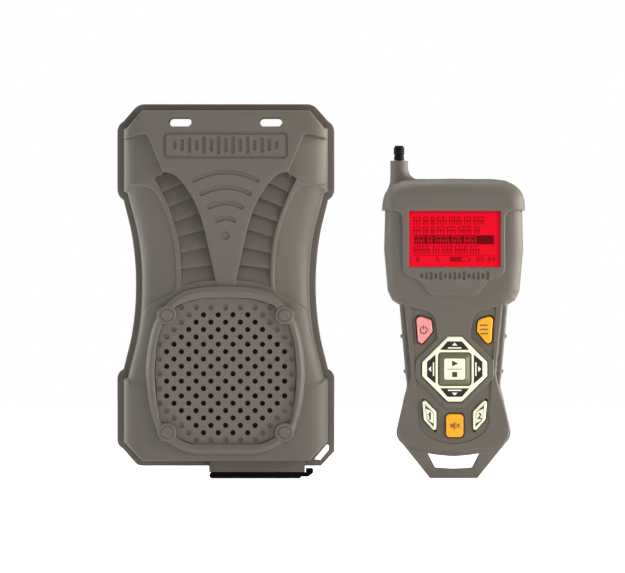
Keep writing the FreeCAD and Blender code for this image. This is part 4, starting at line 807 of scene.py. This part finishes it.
class RemoteFront:
    """Height of the remote's front, and the lines where it changes."""

    def __init__(self):
        self.outer, self.body = spread(remote_outline(), 1.4), remote_outline(hood=False)
        self.head, self.bezel, self.hood = head_outline(), bezel_outline(), hood_sides()
        self.grip, self.keypad = grip_outline(), keypad_outline()
        self.surround = diamond(SURROUND_HALF, SURROUND_FLAT)
        self.window = trace(
            (-10.2, 5.9), ("curve", (0, 5.3), (10.2, 5.9)), (10.9, 7.0),
            ("curve", (12.9, 10.2), (14.3, 13.7)), ("curve", (0, 12.2), (-14.3, 13.7)),
            ("curve", (-12.9, 10.2), (-10.9, 7.0)))
        openings = [box_outline(*LCD), diamond(PAD_HALF + 0.4, PAD_FLAT + 0.16), mute_key(KEY_GAP)]
        openings += [outline(side, KEY_GAP) for outline in (upper_key, preset_key) for side in (-1, 1)]
        self.holes = [spread(opening, 1.2) for opening in [self.window] + openings]
        self.bars = [upright(FACE_X + FACE_BAR_PITCH * k, FACE_BARS_Z, half_height)
                     for k, half_height in zip(range(-7, 8), (0.5, 1.0, 1.5, 0.8, 1.7) * 3)]

    def features(self):
        """Constraint lines where the front turns, each at the gaps that its profile needs."""
        lines = lines_round(self.outer, (0.3, 0.7, 1.2, 1.9, 2.8, 4.0, 5.4, 7.2), 1.5)
        lines += lines_round(self.body, (0.3, 0.8, 1.6, 3.0, 4.6, 6.5), 1.6)
        lines += lines_round(self.hood, (0.3, 0.9, 1.8, 3.0, 4.4, 6.0, 8.0, 9.5), 1.6)
        steps = ((self.head, 0.8), (self.bezel, BEZEL_EDGE), (self.grip, GRIP_EDGE),
                 (self.surround, HEAD_EDGE))
        for outline, edge in steps:
            lines += lines_round(outline, stand_gaps(edge), 1.3)
        lines += lines_round(self.keypad, (0.0, 0.25, 0.5), 1.3)
        for hole in self.holes:
            lines += lines_round(hole, (-0.2, -0.5), 1.2)
        crease = np.array([(x, crease_height(x)) for x in np.linspace(-30, 30, 41)])
        lines += [whole(crease + (0, gap), closed=False) for gap in stand_gaps(CREASE_EDGE)]
        for bar in self.bars:
            lines += groove_lines(bar, FACE_BAR_WIDTH)
        return lines

    def height(self, p):
        """The front: keypad, grip and head in turn, then the lanyard loop, the hood and the openings."""
        x, z = p[:, 0], p[:, 1]
        d_body, d_hood = (np.maximum(distance(p, line), 0) for line in (self.body, self.hood))
        up = ramp(z - 93, 9)
        base = FLARE - (FLARE - KEYPAD) * np.clip(distance(p, self.keypad) / 0.5, 0, 1)
        base = stand(np.full(len(p), STRIP), base, distance(p, self.grip), GRIP_EDGE)
        raised = np.maximum(distance(p, self.head), distance(p, self.surround))
        base = stand(base, SURROUND + (HEAD - SURROUND) * ramp(z - 40, 60), raised, HEAD_EDGE)
        rolled = GRIP_ROLL + (HEAD_ROLL - GRIP_ROLL) * up
        base -= roll(d_body / rolled, 1.0, 1.0, 2.4) * rolled
        above = z - crease_height(x)
        loop = LOOP_THIN + (LOOP_THICK - LOOP_THIN) * np.clip((z + 1) / 20, 0, 1)
        loop -= roll(d_body, 0.9, 0.9)
        grip = stand(loop, np.maximum(base, loop), above, CREASE_EDGE)
        base = np.where(above < 2, grip, base)
        bezel = BEZEL_LOW + (BEZEL_HIGH - BEZEL_LOW) * ramp(z - 100, 50)
        bezel -= roll(d_hood, HOOD_WIDE, HOOD_DEEP, 2.2) * (z > 130)
        base = stand(base, bezel, distance(p, self.bezel), BEZEL_EDGE)
        for hole in self.holes:
            base -= roll(-distance(p, hole), 0.5, 0.35)
        for bar in self.bars:
            base -= groove(distance(p, bar, closed=False), FACE_BAR_WIDTH, FACE_BAR_DEPTH)
        return base

    def back_features(self):
        lines = lines_round(inner_room(), (0.0, STEEP), 2.0)
        lines += lines_round(spread(self.pocket(), 3), (0.0, STEEP), 2.4)
        return lines + post_lines(REMOTE_POSTS)

    def pocket(self):
        """Room for the display module behind the window."""
        left, right, bottom, top = LCD
        return box_outline(left - 2.1, right + 1.8, bottom - 2.4, top + 2.1)

    def back_height(self, p):
        """The hollow behind: cavity, display pocket and posts."""
        deep = np.where(distance(p, inner_room()) > STEEP / 2, ROOM_DEEP, 0.0)
        deep = np.where(distance(p, self.pocket()) > STEEP / 2, POCKET_DEEP, deep)
        deep = with_posts(p, deep, REMOTE_POSTS)
        return np.minimum(deep, np.maximum(self.height(p) - REMOTE_THINNEST, 0.0))

    def build(self):
        return relief("remote_front", self.outer, self.holes, (self.features(), self.height),
                      (self.back_features(), self.back_height), shift=REMOTE_X)


def crease_height(x):
    """Where the lanyard loop meets the grip: an arc, lowest in the middle."""
    return 14.6 + 3.5 * (x / 27)**2


def inner_room():
    """The remote's cavity, inside its walls and above the loop."""
    room = offset(spread(remote_outline(hood=False), 1.5), 2.2)
    room[:, 1] = np.clip(room[:, 1], 19.5, 158.5)
    keep = np.linalg.norm(room - np.roll(room, 1, 0), axis=1) > 0.3
    return room[keep]


# ---------------------------------------------------------------- thin pieces: icons and figures
def stroke(line, width):
    """Flat ribbons along a line, one outline for each straight run."""
    line = np.array(line, float)
    outlines = []
    for a, b in zip(line, line[1:]):
        along = (b - a) / np.linalg.norm(b - a) * width / 2
        across = np.array((-along[1], along[0]))
        outlines.append(np.array([a - along - across, b + along - across,
                                  b + along + across, a - along + across]))
    return outlines


def ribbon(line, width):
    """One flat outline that follows a smooth line."""
    line = np.array(line, float)
    sides = [offset(line, gap, closed=False) for gap in (-width / 2, width / 2)]
    return np.vstack([sides[0], sides[1][::-1]])


SEGMENTS = {   # the bars of a seven-bar digit, on a grid one wide and two high
    "top": ((0, 2), (1, 2)),
    "upper_left": ((0, 1), (0, 2)),
    "upper_right": ((1, 1), (1, 2)),
    "middle": ((0, 1), (1, 1)),
    "lower_left": ((0, 0), (0, 1)),
    "lower_right": ((1, 0), (1, 1)),
    "base": ((0, 0), (1, 0)),
}
DIGITS = {
    "0": "top upper_left upper_right lower_left lower_right base",
    "4": "upper_left upper_right middle lower_right",
    "5": "top upper_left middle lower_right base",
    "8": " ".join(SEGMENTS),
}


def digit(figure, x, z, size, width):
    """Bars of a seven-bar digit whose lower left corner is at (x, z)."""
    outlines = []
    for bar in DIGITS[figure].split():
        ends = [(x + size * px, z + size * pz) for px, pz in SEGMENTS[bar]]
        outlines += stroke(ends, width)
    return outlines


def plates(name, outlines, front, thick, body, look):
    """Thin flat pieces on the remote, as one object; front is how far forward they reach."""
    verts, faces = [], []
    for outline in outlines:
        first, count = len(verts), len(outline)
        for y in (-front, thick - front):
            verts += [((x + REMOTE_X) * MM, y * MM, z * MM) for x, z in outline]
        faces.append(tuple(range(first, first + count)))
        faces.append(tuple(range(first + 2 * count - 1, first + count - 1, -1)))
        for k in range(count):
            here, after = first + k, first + (k + 1) % count
            faces.append((here, here + count, after + count, after))
    piece = new_mesh(name, verts, faces)
    mesh = bmesh.new()
    mesh.from_mesh(piece.data)
    bmesh.ops.recalc_face_normals(mesh, faces=mesh.faces)
    mesh.to_mesh(piece.data)
    mesh.free()
    finished(piece, body, LOOKS[look])


def finished(piece, body, material):
    piece.data.materials.append(material)
    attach(piece, body)


def on_pad(points, turns):
    """Points given from the pad's middle, turned about it by quarter turns."""
    c, s = round(math.cos(turns * math.pi / 2)), round(math.sin(turns * math.pi / 2))
    return np.array([(FACE_X + c * x - s * z, PAD_Z + s * x + c * z) for x, z in points])


def front_of(node):
    """How far forward a node of the frame reaches."""
    return -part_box(node)[0][1] / MM


LENS_FACE = front_of("display_window")
LEGEND_FACE = {body: front_of(body) for body in (
    "nav_pad", "select_key", "power_key", "menu_key", "mute_key", "preset_one_key", "preset_two_key")}
PRINT, PRINT_THICK = 0.12, 0.3      # how far each printed layer stands proud, and its whole thickness


def legend(name, outlines, layer, body, look):
    """Flat shapes printed on a key, in layers that stand one over the other."""
    plates(name, outlines, LEGEND_FACE[body] + layer * PRINT, PRINT_THICK, body, look)


def pad_legends():
    """Black zones on the four sides of the pad, each with a light arrow and a dash."""
    zone = [(-8.0, 10.6), (8.0, 10.6), (4.0, 15.3), (-4.0, 15.3)]
    arrow = [(-1.6, 13.0), (1.6, 13.0), (0, 14.6)]
    dash = [(-3.4, 11.7), (3.4, 11.7)]
    dark = [on_pad(zone, turns) for turns in range(4)]
    light = [on_pad(shape, turns) for shape in [arrow] + stroke(dash, 0.7) for turns in range(4)]
    legend("pad_zones", dark, 1, "nav_pad", "print_black")
    legend("pad_arrows", light, 2, "nav_pad", "print_pale")


def select_legend():
    """A pale label on the centre key, with a play triangle over a line and a stop square."""
    x, z = FACE_X, PAD_Z
    label = [rounded_box(x, z, 5.75, 5.75, 0.9)]
    marks = [np.array([(x - 1.5, z + 1.5), (x + 2.0, z + 3.1), (x - 1.5, z + 4.7)])]
    marks += stroke([(x - 4.0, z), (x + 4.0, z)], 0.35)
    marks.append(box_outline(x - 1.4, x + 1.4, z - 4.4, z - 1.6))
    legend("select_label", label, 1, "select_key", "print_label")
    legend("select_marks", marks, 2, "select_key", "print_dark")


def power_legend():
    """An open ring with a bar in its gap."""
    x, z = -16.6, 81.8
    marks = [ribbon(arc_line(x, z, 1.9, -250, 70, 18), 0.55)] + stroke([(x, z + 0.6), (x, z + 2.4)], 0.5)
    legend("power_mark", marks, 1, "power_key", "print_rose")


def menu_legend():
    """Three level bars, one over the other."""
    bars = [bar for z in (79.9, 82.2, 84.5) for bar in stroke([(14.9, z), (18.5, z)], 0.8)]
    legend("menu_mark", bars, 1, "menu_key", "print_brown")


def mute_legend():
    """A loudspeaker with a cross beside it."""
    x, z = MUTE
    horn = np.array([(x - 2.4, z - 0.9), (x - 1.2, z - 0.9), (x + 0.3, z - 2.3),
                     (x + 0.3, z + 2.3), (x - 1.2, z + 0.9), (x - 2.4, z + 0.9)])
    cross = stroke([(x + 1.1, z - 1.0), (x + 2.8, z + 1.0)], 0.5)
    cross += stroke([(x + 1.1, z + 1.0), (x + 2.8, z - 1.0)], 0.5)
    legend("mute_mark", [horn] + cross, 1, "mute_key", "print_brown")


def preset_legend(side, body, figure):
    """An olive border, a pale field on it, and two wedges and a figure on the field."""
    wedges = [sided([(-16.2, 40.2), (-12.3, 36.9), (-16.1, 38.6)], side),
              sided([(-15.2, 32.2), (-11.6, 30.2), (-11.6, 28.6)], side)]
    figure_middle = sided([(-13.8, 34.4)], side)[0]
    marks = [np.array(wedge) for wedge in wedges] + bold_figure(figure, *figure_middle)
    legend(body + "_field", [preset_key(side, -1.6)], 1, body, "print_olive")
    legend(body + "_inlay", [preset_key(side, -2.0)], 2, body, "print_pale")
    legend(body + "_marks", marks, 3, body, "print_black")


def bold_figure(figure, x, z):
    """Outlines of a rounded 1 or 2, centred on a point."""
    if figure == "1":
        flag = stroke([(x - 0.7, z + 0.8), (x + 0.2, z + 1.3)], 0.6)
        return flag + stroke([(x + 0.2, z - 1.65), (x + 0.2, z + 1.65)], 0.9)
    bow = np.vstack([arc_line(x, z + 0.8, 0.6, 165, -30, 9), (x - 0.55, z - 1.1)])
    return [ribbon(bow, 0.65)] + stroke([(x - 0.9, z - 1.35), (x + 0.9, z - 1.35)], 0.65)


def display_marks():
    """A list of tracks as rows of blocks, one of them chosen, over a status line."""
    left, right = LCD[0] + 2.6, LCD[1] - 4.4
    rows = [(142.2, [3.4, 2.2, 1.6, 4.6, 6.4, 3.0, 5.2]),
            (136.9, [3.4, 2.2, 1.6, 3.4, 4.4, 6.6, 2.4]),
            (131.4, [5.6, 2.4, 7.4, 4.6, 6.2]),
            (126.2, [8.8, 3.0, 5.2, 6.4, 4.4])]
    chosen_row, dark, light = 2, [], []
    for number, (z, lengths) in enumerate(rows):
        x = left
        for length in lengths:
            (light if number == chosen_row else dark).extend(track_block(x, z, length))
            x += length + 2.0
    dark += stroke([(left, 123.2), (right + 1, 123.2)], 0.35) + status_line(left)
    chosen = box_outline(left, right + 0.6, 129.2, 134.2)
    plates("display_rows", dark, LENS_FACE + 0.05, 0.1, "remote", "display_dark")
    plates("display_bar", [chosen], LENS_FACE + 0.05, 0.1, "remote", "display_bar")
    plates("display_chosen", light, LENS_FACE + 0.1, 0.1, "remote", "display_light")


def status_line(left):
    """Plain seven-bar figures, a colon and a battery, along the display's lower edge."""
    outlines = []
    for figure, x in zip("850504", (1.6, 12.6, 35.0, 37.2, 41.2, 43.4)):
        outlines += digit(figure, left + x, 119.9, 1.1, 0.5)
    outlines += [box_outline(left + 39.5, left + 39.9, z, z + 0.4) for z in (120.4, 121.4)]
    outlines.append(box_outline(left + 20.0, left + 26.4, 119.6, 122.4))
    case = [(26.4, 119.8), (30.6, 119.8), (30.6, 122.2), (26.4, 122.2)]
    outlines += stroke([(left + x, z) for x, z in case], 0.4)
    outlines.append(box_outline(left + 30.8, left + 31.6, 120.4, 121.6))
    return outlines


def track_block(x, z, length):
    """A stand-in for a word: a small box outline with strokes, not letters."""
    high = 1.95
    outlines = []
    for level in (z + high, z):
        outlines += stroke([(x, level), (x + length, level)], 0.5)
    count = max(2, int(length / 1.25))
    for k in range(count + 1):
        across = x + length * k / count
        outlines += stroke([(across, z - high), (across, z + high * (0.2 if k % 2 else 1.0))], 0.55)
    return outlines


# ---------------------------------------------------------------- materials
def shader(name, colour, rough, metallic=0.0):
    """A material with its main shader, and a function that adds and links nodes."""
    material = bpy.data.materials.new(name)
    material.use_nodes = True
    nodes, links = material.node_tree.nodes, material.node_tree.links
    main = nodes["Principled BSDF"]
    main.inputs["Base Color"].default_value = (*colour, 1)
    main.inputs["Roughness"].default_value = rough
    main.inputs["Metallic"].default_value = metallic

    def add(kind, inputs=(), **settings):
        node = nodes.new(kind)
        for key, value in settings.items():
            setattr(node, key, value)
        for key, value in dict(inputs).items():
            if isinstance(value, bpy.types.NodeSocket):
                links.new(value, node.inputs[key])
            else:
                node.inputs[key].default_value = value
        return node

    return material, main, add, links


def srgb(r, g, b):
    """Linear colour from 0-255 display values."""
    shares = (r / 255, g / 255, b / 255)
    return tuple(c / 12.92 if c < 0.04045 else ((c + 0.055) / 1.055)**2.4 for c in shares)


def surface(name, colour, rough=0.5, metallic=0.0, mottle=0.06, patch=60.0, grain=1400.0, bump=0.03,
            rough_spread=0.08, stretch=(1, 1, 1)):
    """A finish with soft colour mottling, fine grain and uneven gloss; scales are waves per metre."""
    material, main, add, links = shader(name, colour, rough, metallic)
    where = add("ShaderNodeTexCoord")
    placed = add("ShaderNodeMapping", {"Vector": where.outputs["Object"], "Scale": stretch})
    patches = add("ShaderNodeTexNoise", {"Vector": placed.outputs[0], "Scale": patch, "Detail": 3.0})
    fine = add("ShaderNodeTexNoise", {"Vector": placed.outputs[0], "Scale": grain, "Detail": 2.0})
    both = add("ShaderNodeMath", {0: patches.outputs["Fac"], 1: fine.outputs["Fac"]}, operation="ADD")
    dark = tuple(c * (1 - mottle) for c in colour)
    light = tuple(min(1.0, c * (1 + mottle)) for c in colour)
    shade = add("ShaderNodeMapRange", {"Value": both.outputs[0], "From Min": 0.7, "From Max": 1.3})
    mix = add("ShaderNodeMix", {"Factor": shade.outputs[0]}, data_type="RGBA")
    mix.inputs["A"].default_value, mix.inputs["B"].default_value = (*dark, 1), (*light, 1)
    links.new(mix.outputs["Result"], main.inputs["Base Color"])
    gloss = add("ShaderNodeMapRange", {"Value": patches.outputs["Fac"], "To Min": rough - rough_spread,
                                       "To Max": rough + rough_spread})
    links.new(gloss.outputs[0], main.inputs["Roughness"])
    grained = add("ShaderNodeBump", {"Height": fine.outputs["Fac"], "Strength": 0.5,
                                     "Distance": bump * MM})
    links.new(grained.outputs[0], main.inputs["Normal"])
    return material, main, add, links, mix


def case_plastic(name, colour):
    """Moulded case plastic: fine spark texture, a little paler where edges rub."""
    material, main, add, links, mix = surface(name, colour, mottle=0.035, bump=0.02)
    edges = add("ShaderNodeNewGeometry")
    worn = add("ShaderNodeMapRange", {"Value": edges.outputs["Pointiness"], "From Min": 0.52,
                                      "From Max": 0.62, "To Max": 0.35})
    paler = add("ShaderNodeMix", {"Factor": worn.outputs[0]}, data_type="RGBA")
    links.new(mix.outputs["Result"], paler.inputs["A"])
    paler.inputs["B"].default_value = (*(c * 1.25 for c in colour), 1)
    links.new(paler.outputs["Result"], main.inputs["Base Color"])
    return material


def pale_floor():
    """Plain white ground, lit from within enough to stay white to the horizon."""
    white = (0.86, 0.86, 0.86)
    material, main, add, links, _ = surface("pale_floor", white, rough=0.8, patch=2.0, mottle=0.01)
    main.inputs["Emission Color"].default_value = (1, 1, 1, 1)
    seen = add("ShaderNodeLightPath")
    shine = add("ShaderNodeMapRange", {"Value": seen.outputs["Is Camera Ray"], "To Min": 0.45,
                                       "To Max": 0.9})
    links.new(shine.outputs[0], main.inputs["Emission Strength"])
    main.inputs["Specular IOR Level"].default_value = 0.0
    return material


# ---------------------------------------------------------------- stage, light and camera
def surroundings():
    """A world that looks white, but lights the set a little less from the left than from the right."""
    world = bpy.data.worlds.new("studio")
    world.use_nodes = True
    nodes, links = world.node_tree.nodes, world.node_tree.links
    seen, lit = nodes["Background"], nodes.new("ShaderNodeBackground")
    seen.inputs["Strength"].default_value = 1.0
    seen.inputs["Color"].default_value = (1, 1, 1, 1)
    lit.inputs["Color"].default_value = (1.0, 0.985, 0.96, 1)
    place, axes = nodes.new("ShaderNodeTexCoord"), nodes.new("ShaderNodeSeparateXYZ")
    across = nodes.new("ShaderNodeMapRange")
    across.inputs["From Min"].default_value = -1.0
    across.inputs["To Min"].default_value = AMBIENT_LEFT
    across.inputs["To Max"].default_value = AMBIENT_RIGHT
    links.new(place.outputs["Generated"], axes.inputs[0])
    links.new(axes.outputs["X"], across.inputs["Value"])
    links.new(across.outputs[0], lit.inputs["Strength"])
    path, mix = nodes.new("ShaderNodeLightPath"), nodes.new("ShaderNodeMixShader")
    links.new(path.outputs["Is Camera Ray"], mix.inputs[0])
    links.new(lit.outputs[0], mix.inputs[1])
    links.new(seen.outputs[0], mix.inputs[2])
    links.new(mix.outputs[0], nodes["World Output"].inputs["Surface"])
    bpy.context.scene.world = world


def studio():
    """Pale floor, white surroundings and softboxes, cooler on the left and warmer on the right."""
    floor = new_mesh("floor", [(-6, -6, 0), (6, -6, 0), (6, 6, 0), (-6, 6, 0)], [(0, 1, 2, 3)])
    floor.location.z = -0.0005
    floor.data.materials.append(pale_floor())
    surroundings()
    bpy.context.scene.view_settings.view_transform = "Standard"
    softbox("cool_left", (-1.3, 0.3, 0.25), 1.0, COOL, COOL_POWER)
    softbox("warm_right", (1.4, 0.3, 0.25), 1.0, WARM, WARM_POWER)
    softbox("key", (1.6, -0.75, 0.3), 0.9, (1.0, 0.98, 0.94), KEY_POWER)
    softbox("top", (-0.2, 0.2, 1.5), 1.2, (1, 0.98, 0.95), TOP_POWER)
    light_remote_side()


def light_remote_side():
    """The caller stands in the way of the left softbox, so the remote gets one of its own."""
    lamp = softbox("remote_left", (-1.3, 0.1, 0.25), 1.0, COOL, REMOTE_POWER)
    remote = bpy.data.collections.new("remote_lit")
    left_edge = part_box("remote_front_shell")[0][0] - 5 * MM
    for piece in bpy.context.scene.objects:
        if piece.type == "MESH" and min(corner[0] for corner in piece.bound_box) > left_edge:
            remote.objects.link(piece)
    lamp.light_linking.receiver_collection = remote
    lamp.light_linking.blocker_collection = remote


def softbox(name, place, size, colour, power):
    """A square light that faces the middle of the set."""
    light = bpy.data.lights.new(name, "AREA")
    light.shape, light.size = "SQUARE", size
    light.color, light.energy = colour, power
    lamp = bpy.data.objects.new(name, light)
    lamp.location = place
    aim = Vector((0.05, -0.01, 0.1)) - lamp.location
    lamp.rotation_mode = "QUATERNION"
    lamp.rotation_quaternion = aim.to_track_quat("-Z", "Y")
    bpy.context.scene.collection.objects.link(lamp)
    return lamp


def camera():
    """Straight-on view of both units, from far enough away to look flat."""
    away, frame_width, middle_x, middle_z = 9.0, 0.3456, 0.0479, 0.1059
    data = bpy.data.cameras.new("camera")
    data.sensor_width = 36.0
    data.lens = data.sensor_width * away / frame_width
    data.clip_end = 40.0
    eye = bpy.data.objects.new("camera", data)
    eye.location = (middle_x, -away, middle_z)
    eye.rotation_euler = (math.pi / 2, 0, 0)
    bpy.context.scene.collection.objects.link(eye)
    bpy.context.scene.camera = eye


def glow(name, colour, edges=False):
    """The lit display: an even glow, if asked a little darker towards its edges, where the shadow of its
    recess is painted in.
    """
    material, main, add, links = shader(name, tuple(0.05 * c for c in colour), 0.35)
    main.inputs["Specular IOR Level"].default_value = 0.05
    spot = add("ShaderNodeTexCoord")
    grain = add("ShaderNodeTexNoise", {"Vector": spot.outputs["Object"], "Scale": 900.0, "Detail": 1.0})
    level = add("ShaderNodeMapRange", {"Value": grain.outputs["Fac"], "To Min": 0.97, "To Max": 1.03})
    if edges:
        axes = add("ShaderNodeSeparateXYZ", {"Vector": spot.outputs["Generated"]})
        # painted shadow of the recess: darker towards the right and top edges, a little towards the left
        for axis, start, end, low in (("X", 1, 0.94, 0.5), ("Z", 1, 0.93, 0.6), ("X", 0, 0.03, 0.8)):
            painted_recess_shadow = add("ShaderNodeMapRange", {"Value": axes.outputs[axis], "From Min": start,
                                             "From Max": end, "To Min": low, "To Max": 1.0})
            level = add("ShaderNodeMath", {0: level.outputs[0], 1: painted_recess_shadow.outputs[0]}, operation="MULTIPLY")
    links.new(level.outputs[0], main.inputs["Emission Strength"])
    main.inputs["Emission Color"].default_value = (*colour, 1)
    return material


def plain(name, colour, **finish):
    return surface(name, colour, **finish)[0]


def printed(name, colour):
    return plain(name, colour, mottle=0.03, patch=300.0, grain=2500.0, bump=0.01)


def moulded(name, colour, rough=0.4, shine=0.0):
    """A key cap: satin plastic with a little light passing through, and a clear coat if it shines."""
    material, main = surface(name, colour, rough=rough, mottle=0.025, patch=180.0, grain=1800.0,
                             bump=0.012)[:2]
    main.inputs["Coat Weight"].default_value = shine
    main.inputs["Subsurface Weight"].default_value = 0.08
    main.inputs["Subsurface Scale"].default_value = 0.8 * MM
    return material


def matt_black(name, colour, rough):
    """Black rubber or plastic that hardly mirrors its surroundings."""
    material, main = surface(name, colour, rough=rough, mottle=0.2, patch=150.0, bump=0.04)[:2]
    main.inputs["Specular IOR Level"].default_value = 0.15
    return material


def metal(name, colour, rough, stretch=(1, 1, 1)):
    return plain(name, colour, rough=rough, metallic=1.0, mottle=0.08, patch=120.0, grain=2200.0,
                 bump=0.008, stretch=stretch)


def circuit_board(name, colour):
    """Green board with fine copper tracks."""
    material, main, add, links, mix = surface(name, colour, rough=0.35, mottle=0.08, patch=90.0)
    spot = add("ShaderNodeTexCoord")
    cells = add("ShaderNodeTexVoronoi", {"Vector": spot.outputs["Object"], "Scale": 260.0},
                distance="MANHATTAN", feature="DISTANCE_TO_EDGE")
    tracks = add("ShaderNodeMapRange", {"Value": cells.outputs["Distance"], "From Min": 0.04,
                                        "From Max": 0.08, "To Min": 0.55, "To Max": 0.0})
    copper = add("ShaderNodeMix", {"Factor": tracks.outputs[0]}, data_type="RGBA")
    links.new(mix.outputs["Result"], copper.inputs["A"])
    copper.inputs["B"].default_value = (*srgb(70, 130, 84), 1)
    links.new(copper.outputs["Result"], main.inputs["Base Color"])
    return material


def woven_cloth(name, colour):
    """Acoustic cloth: a fine over and under weave."""
    material, main, add, links, _ = surface(name, colour, rough=0.9, mottle=0.12, patch=400.0)
    spot = add("ShaderNodeTexCoord")
    spaced = {"Vector": spot.outputs["Object"], "Scale": 420.0}
    threads = [add("ShaderNodeTexWave", spaced, bands_direction=axis) for axis in ("X", "Z")]
    weave = add("ShaderNodeMath", {0: threads[0].outputs["Fac"], 1: threads[1].outputs["Fac"]},
                operation="MULTIPLY")
    raised = add("ShaderNodeBump", {"Height": weave.outputs[0], "Strength": 0.6,
                                    "Distance": 0.15 * MM})
    links.new(raised.outputs[0], main.inputs["Normal"])
    return material


FINISHES = {   # maker, colour and options of each look, by the record's slot name or its use in print
    "shell": (case_plastic, (98, 92, 84), {}),
    "rubber": (matt_black, (4, 4, 4), {"rough": 0.9}),
    "steel": (metal, (176, 174, 170), {"rough": 0.32}),
    "cloth": (woven_cloth, (30, 29, 28), {}),
    "basket": (plain, (38, 38, 40), {"rough": 0.45, "mottle": 0.08}),
    "magnet": (plain, (58, 57, 56), {"rough": 0.7, "mottle": 0.15, "patch": 220.0, "bump": 0.06}),
    "coil": (metal, (176, 98, 52), {"rough": 0.35, "stretch": (1, 14, 1)}),
    "cone": (plain, (34, 33, 33), {"rough": 0.85, "mottle": 0.2, "patch": 500.0, "bump": 0.08}),
    "board": (circuit_board, (28, 84, 52), {}),
    "chips": (plain, (32, 32, 34), {"rough": 0.45, "mottle": 0.1}),
    "wire": (plain, (140, 26, 22), {"rough": 0.4, "mottle": 0.05}),
    "black_plastic": (plain, (28, 28, 28), {"rough": 0.48, "mottle": 0.08}),
    "cell": (plain, (70, 84, 60), {"rough": 0.3}),
    "contact": (metal, (196, 180, 140), {"rough": 0.28}),
    # the lens has the shadow of its recess painted along its edges
    "display_lens": (glow, (236, 12, 38), {"edges": True}),
    "display": (plain, (150, 155, 150), {"rough": 0.3, "mottle": 0.05}),
    "membrane": (plain, (96, 98, 96), {"rough": 0.65}),
    "pink_key": (moulded, (236, 150, 148), {}),
    "yellow_key": (moulded, (240, 172, 18), {}),
    "pale_key": (moulded, (250, 250, 222), {}),
    "smoke_key": (moulded, (100, 99, 72), {"shine": 0.12}),
    "antenna_metal": (metal, (190, 188, 184), {"rough": 0.22, "stretch": (1, 1, 0.1)}),
    "antenna_black": (matt_black, (7, 7, 7), {"rough": 0.5}),
    "print_black": (printed, (12, 12, 12), {}),
    "print_dark": (printed, (56, 56, 46), {}),
    "print_pale": (printed, (252, 252, 226), {}),
    "print_label": (printed, (254, 254, 221), {}),
    "print_olive": (printed, (176, 174, 146), {}),
    "print_rose": (printed, (120, 58, 62), {}),
    "print_brown": (printed, (150, 92, 24), {}),
    "display_dark": (glow, (160, 6, 24), {}),
    "display_bar": (glow, (110, 4, 20), {}),
    "display_light": (glow, (206, 16, 34), {}),
}
LOOKS = {name: make(name, srgb(*colour), **options) for name, (make, colour, options) in FINISHES.items()}


def dress_frame():
    """Every CAD node gets the finish of its slot, and its edges are eased."""
    for name, node in frame["nodes"].items():
        look = LOOKS[node.data.materials[0].name.split(".")[0]]
        for index in range(len(node.data.materials)):
            node.data.materials[index] = look
        if name not in UNEASED:
            weld = node.modifiers.new("weld", "WELD")
            weld.merge_threshold = 0.001 * MM
            ease = node.modifiers.new("eased_edges", "BEVEL")
            ease.width, ease.segments, ease.limit_method = 0.25 * MM, 2, "ANGLE"
            ease.angle_limit = math.radians(40)
            ease.use_clamp_overlap = True


def band_faces(first, rows, count, order=1):
    """Quads between rows of points that each run once round."""
    faces = []
    for row in range(rows - 1):
        for k in range(count):
            a, b = first + row * count + k, first + row * count + (k + 1) % count
            faces.append((a, b, b + count, a + count)[::order])
    return faces


def grip_nubs():
    """Two small round nubs on each side of the grip, as low domes on its walls."""
    verts, faces = [], []
    profile = [(1.35, -0.6), (1.3, 0.0), (1.15, 0.6), (0.85, 1.0), (0.45, 1.2), (0.0, 1.28)]
    turns = np.arange(14) * 2 * math.pi / 14
    for side in (-1, 1):
        for x, z in ((26.4, 59.1), (28.2, 78.5)):
            faces += band_faces(len(verts), len(profile), len(turns), side)
            for radius, reach in profile:
                across = side * (x + reach) + REMOTE_X
                verts += [(across * MM, (-3.0 + radius * math.cos(turn)) * MM,
                           (z + radius * math.sin(turn)) * MM) for turn in turns]
    finished(new_mesh("grip_nubs", verts, faces), "remote", LOOKS["shell"])


def collar_web():
    """The antenna collar's foot, spreading into the hood on its inner side."""
    sections = [   # height, left end and right end of each oval
        (158.0, -37.4, -14.0), (161.0, -35.9, -15.5), (163.5, -35.1, -17.5),
        (164.8, -35.02, -19.6), (165.6, -35.0, -21.4), (166.6, -34.98, -23.0),
        (168.0, -34.97, -24.2), (170.0, -34.96, -25.0), (172.5, -34.95, -25.25)]
    turns = np.arange(32) * 2 * math.pi / 32
    verts = []
    for z, left, right in sections:
        middle, half = (left + right) / 2 + REMOTE_X, (right - left) / 2
        verts += [((middle + half * math.cos(turn)) * MM, (5.0 + 4.88 * math.sin(turn)) * MM, z * MM)
                  for turn in turns]
    faces = band_faces(0, len(sections), len(turns))
    faces.append(tuple(range(len(turns)))[::-1])
    faces.append(tuple(range(len(verts) - len(turns), len(verts))))
    finished(new_mesh("collar_web", verts, faces), "remote", LOOKS["shell"])


dress_frame()
for shell, node, body in ((CallerFront(), "caller_front_shell", "caller"),
                          (RemoteFront(), "remote_front_shell", "remote")):
    casing = shell.build()
    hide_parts(node)
    finished(casing, body, LOOKS["shell"])
grip_nubs()
collar_web()
pad_legends()
select_legend()
power_legend()
menu_legend()
mute_legend()
preset_legend(-1, "preset_one_key", "1")
preset_legend(1, "preset_two_key", "2")
display_marks()
studio()
camera()
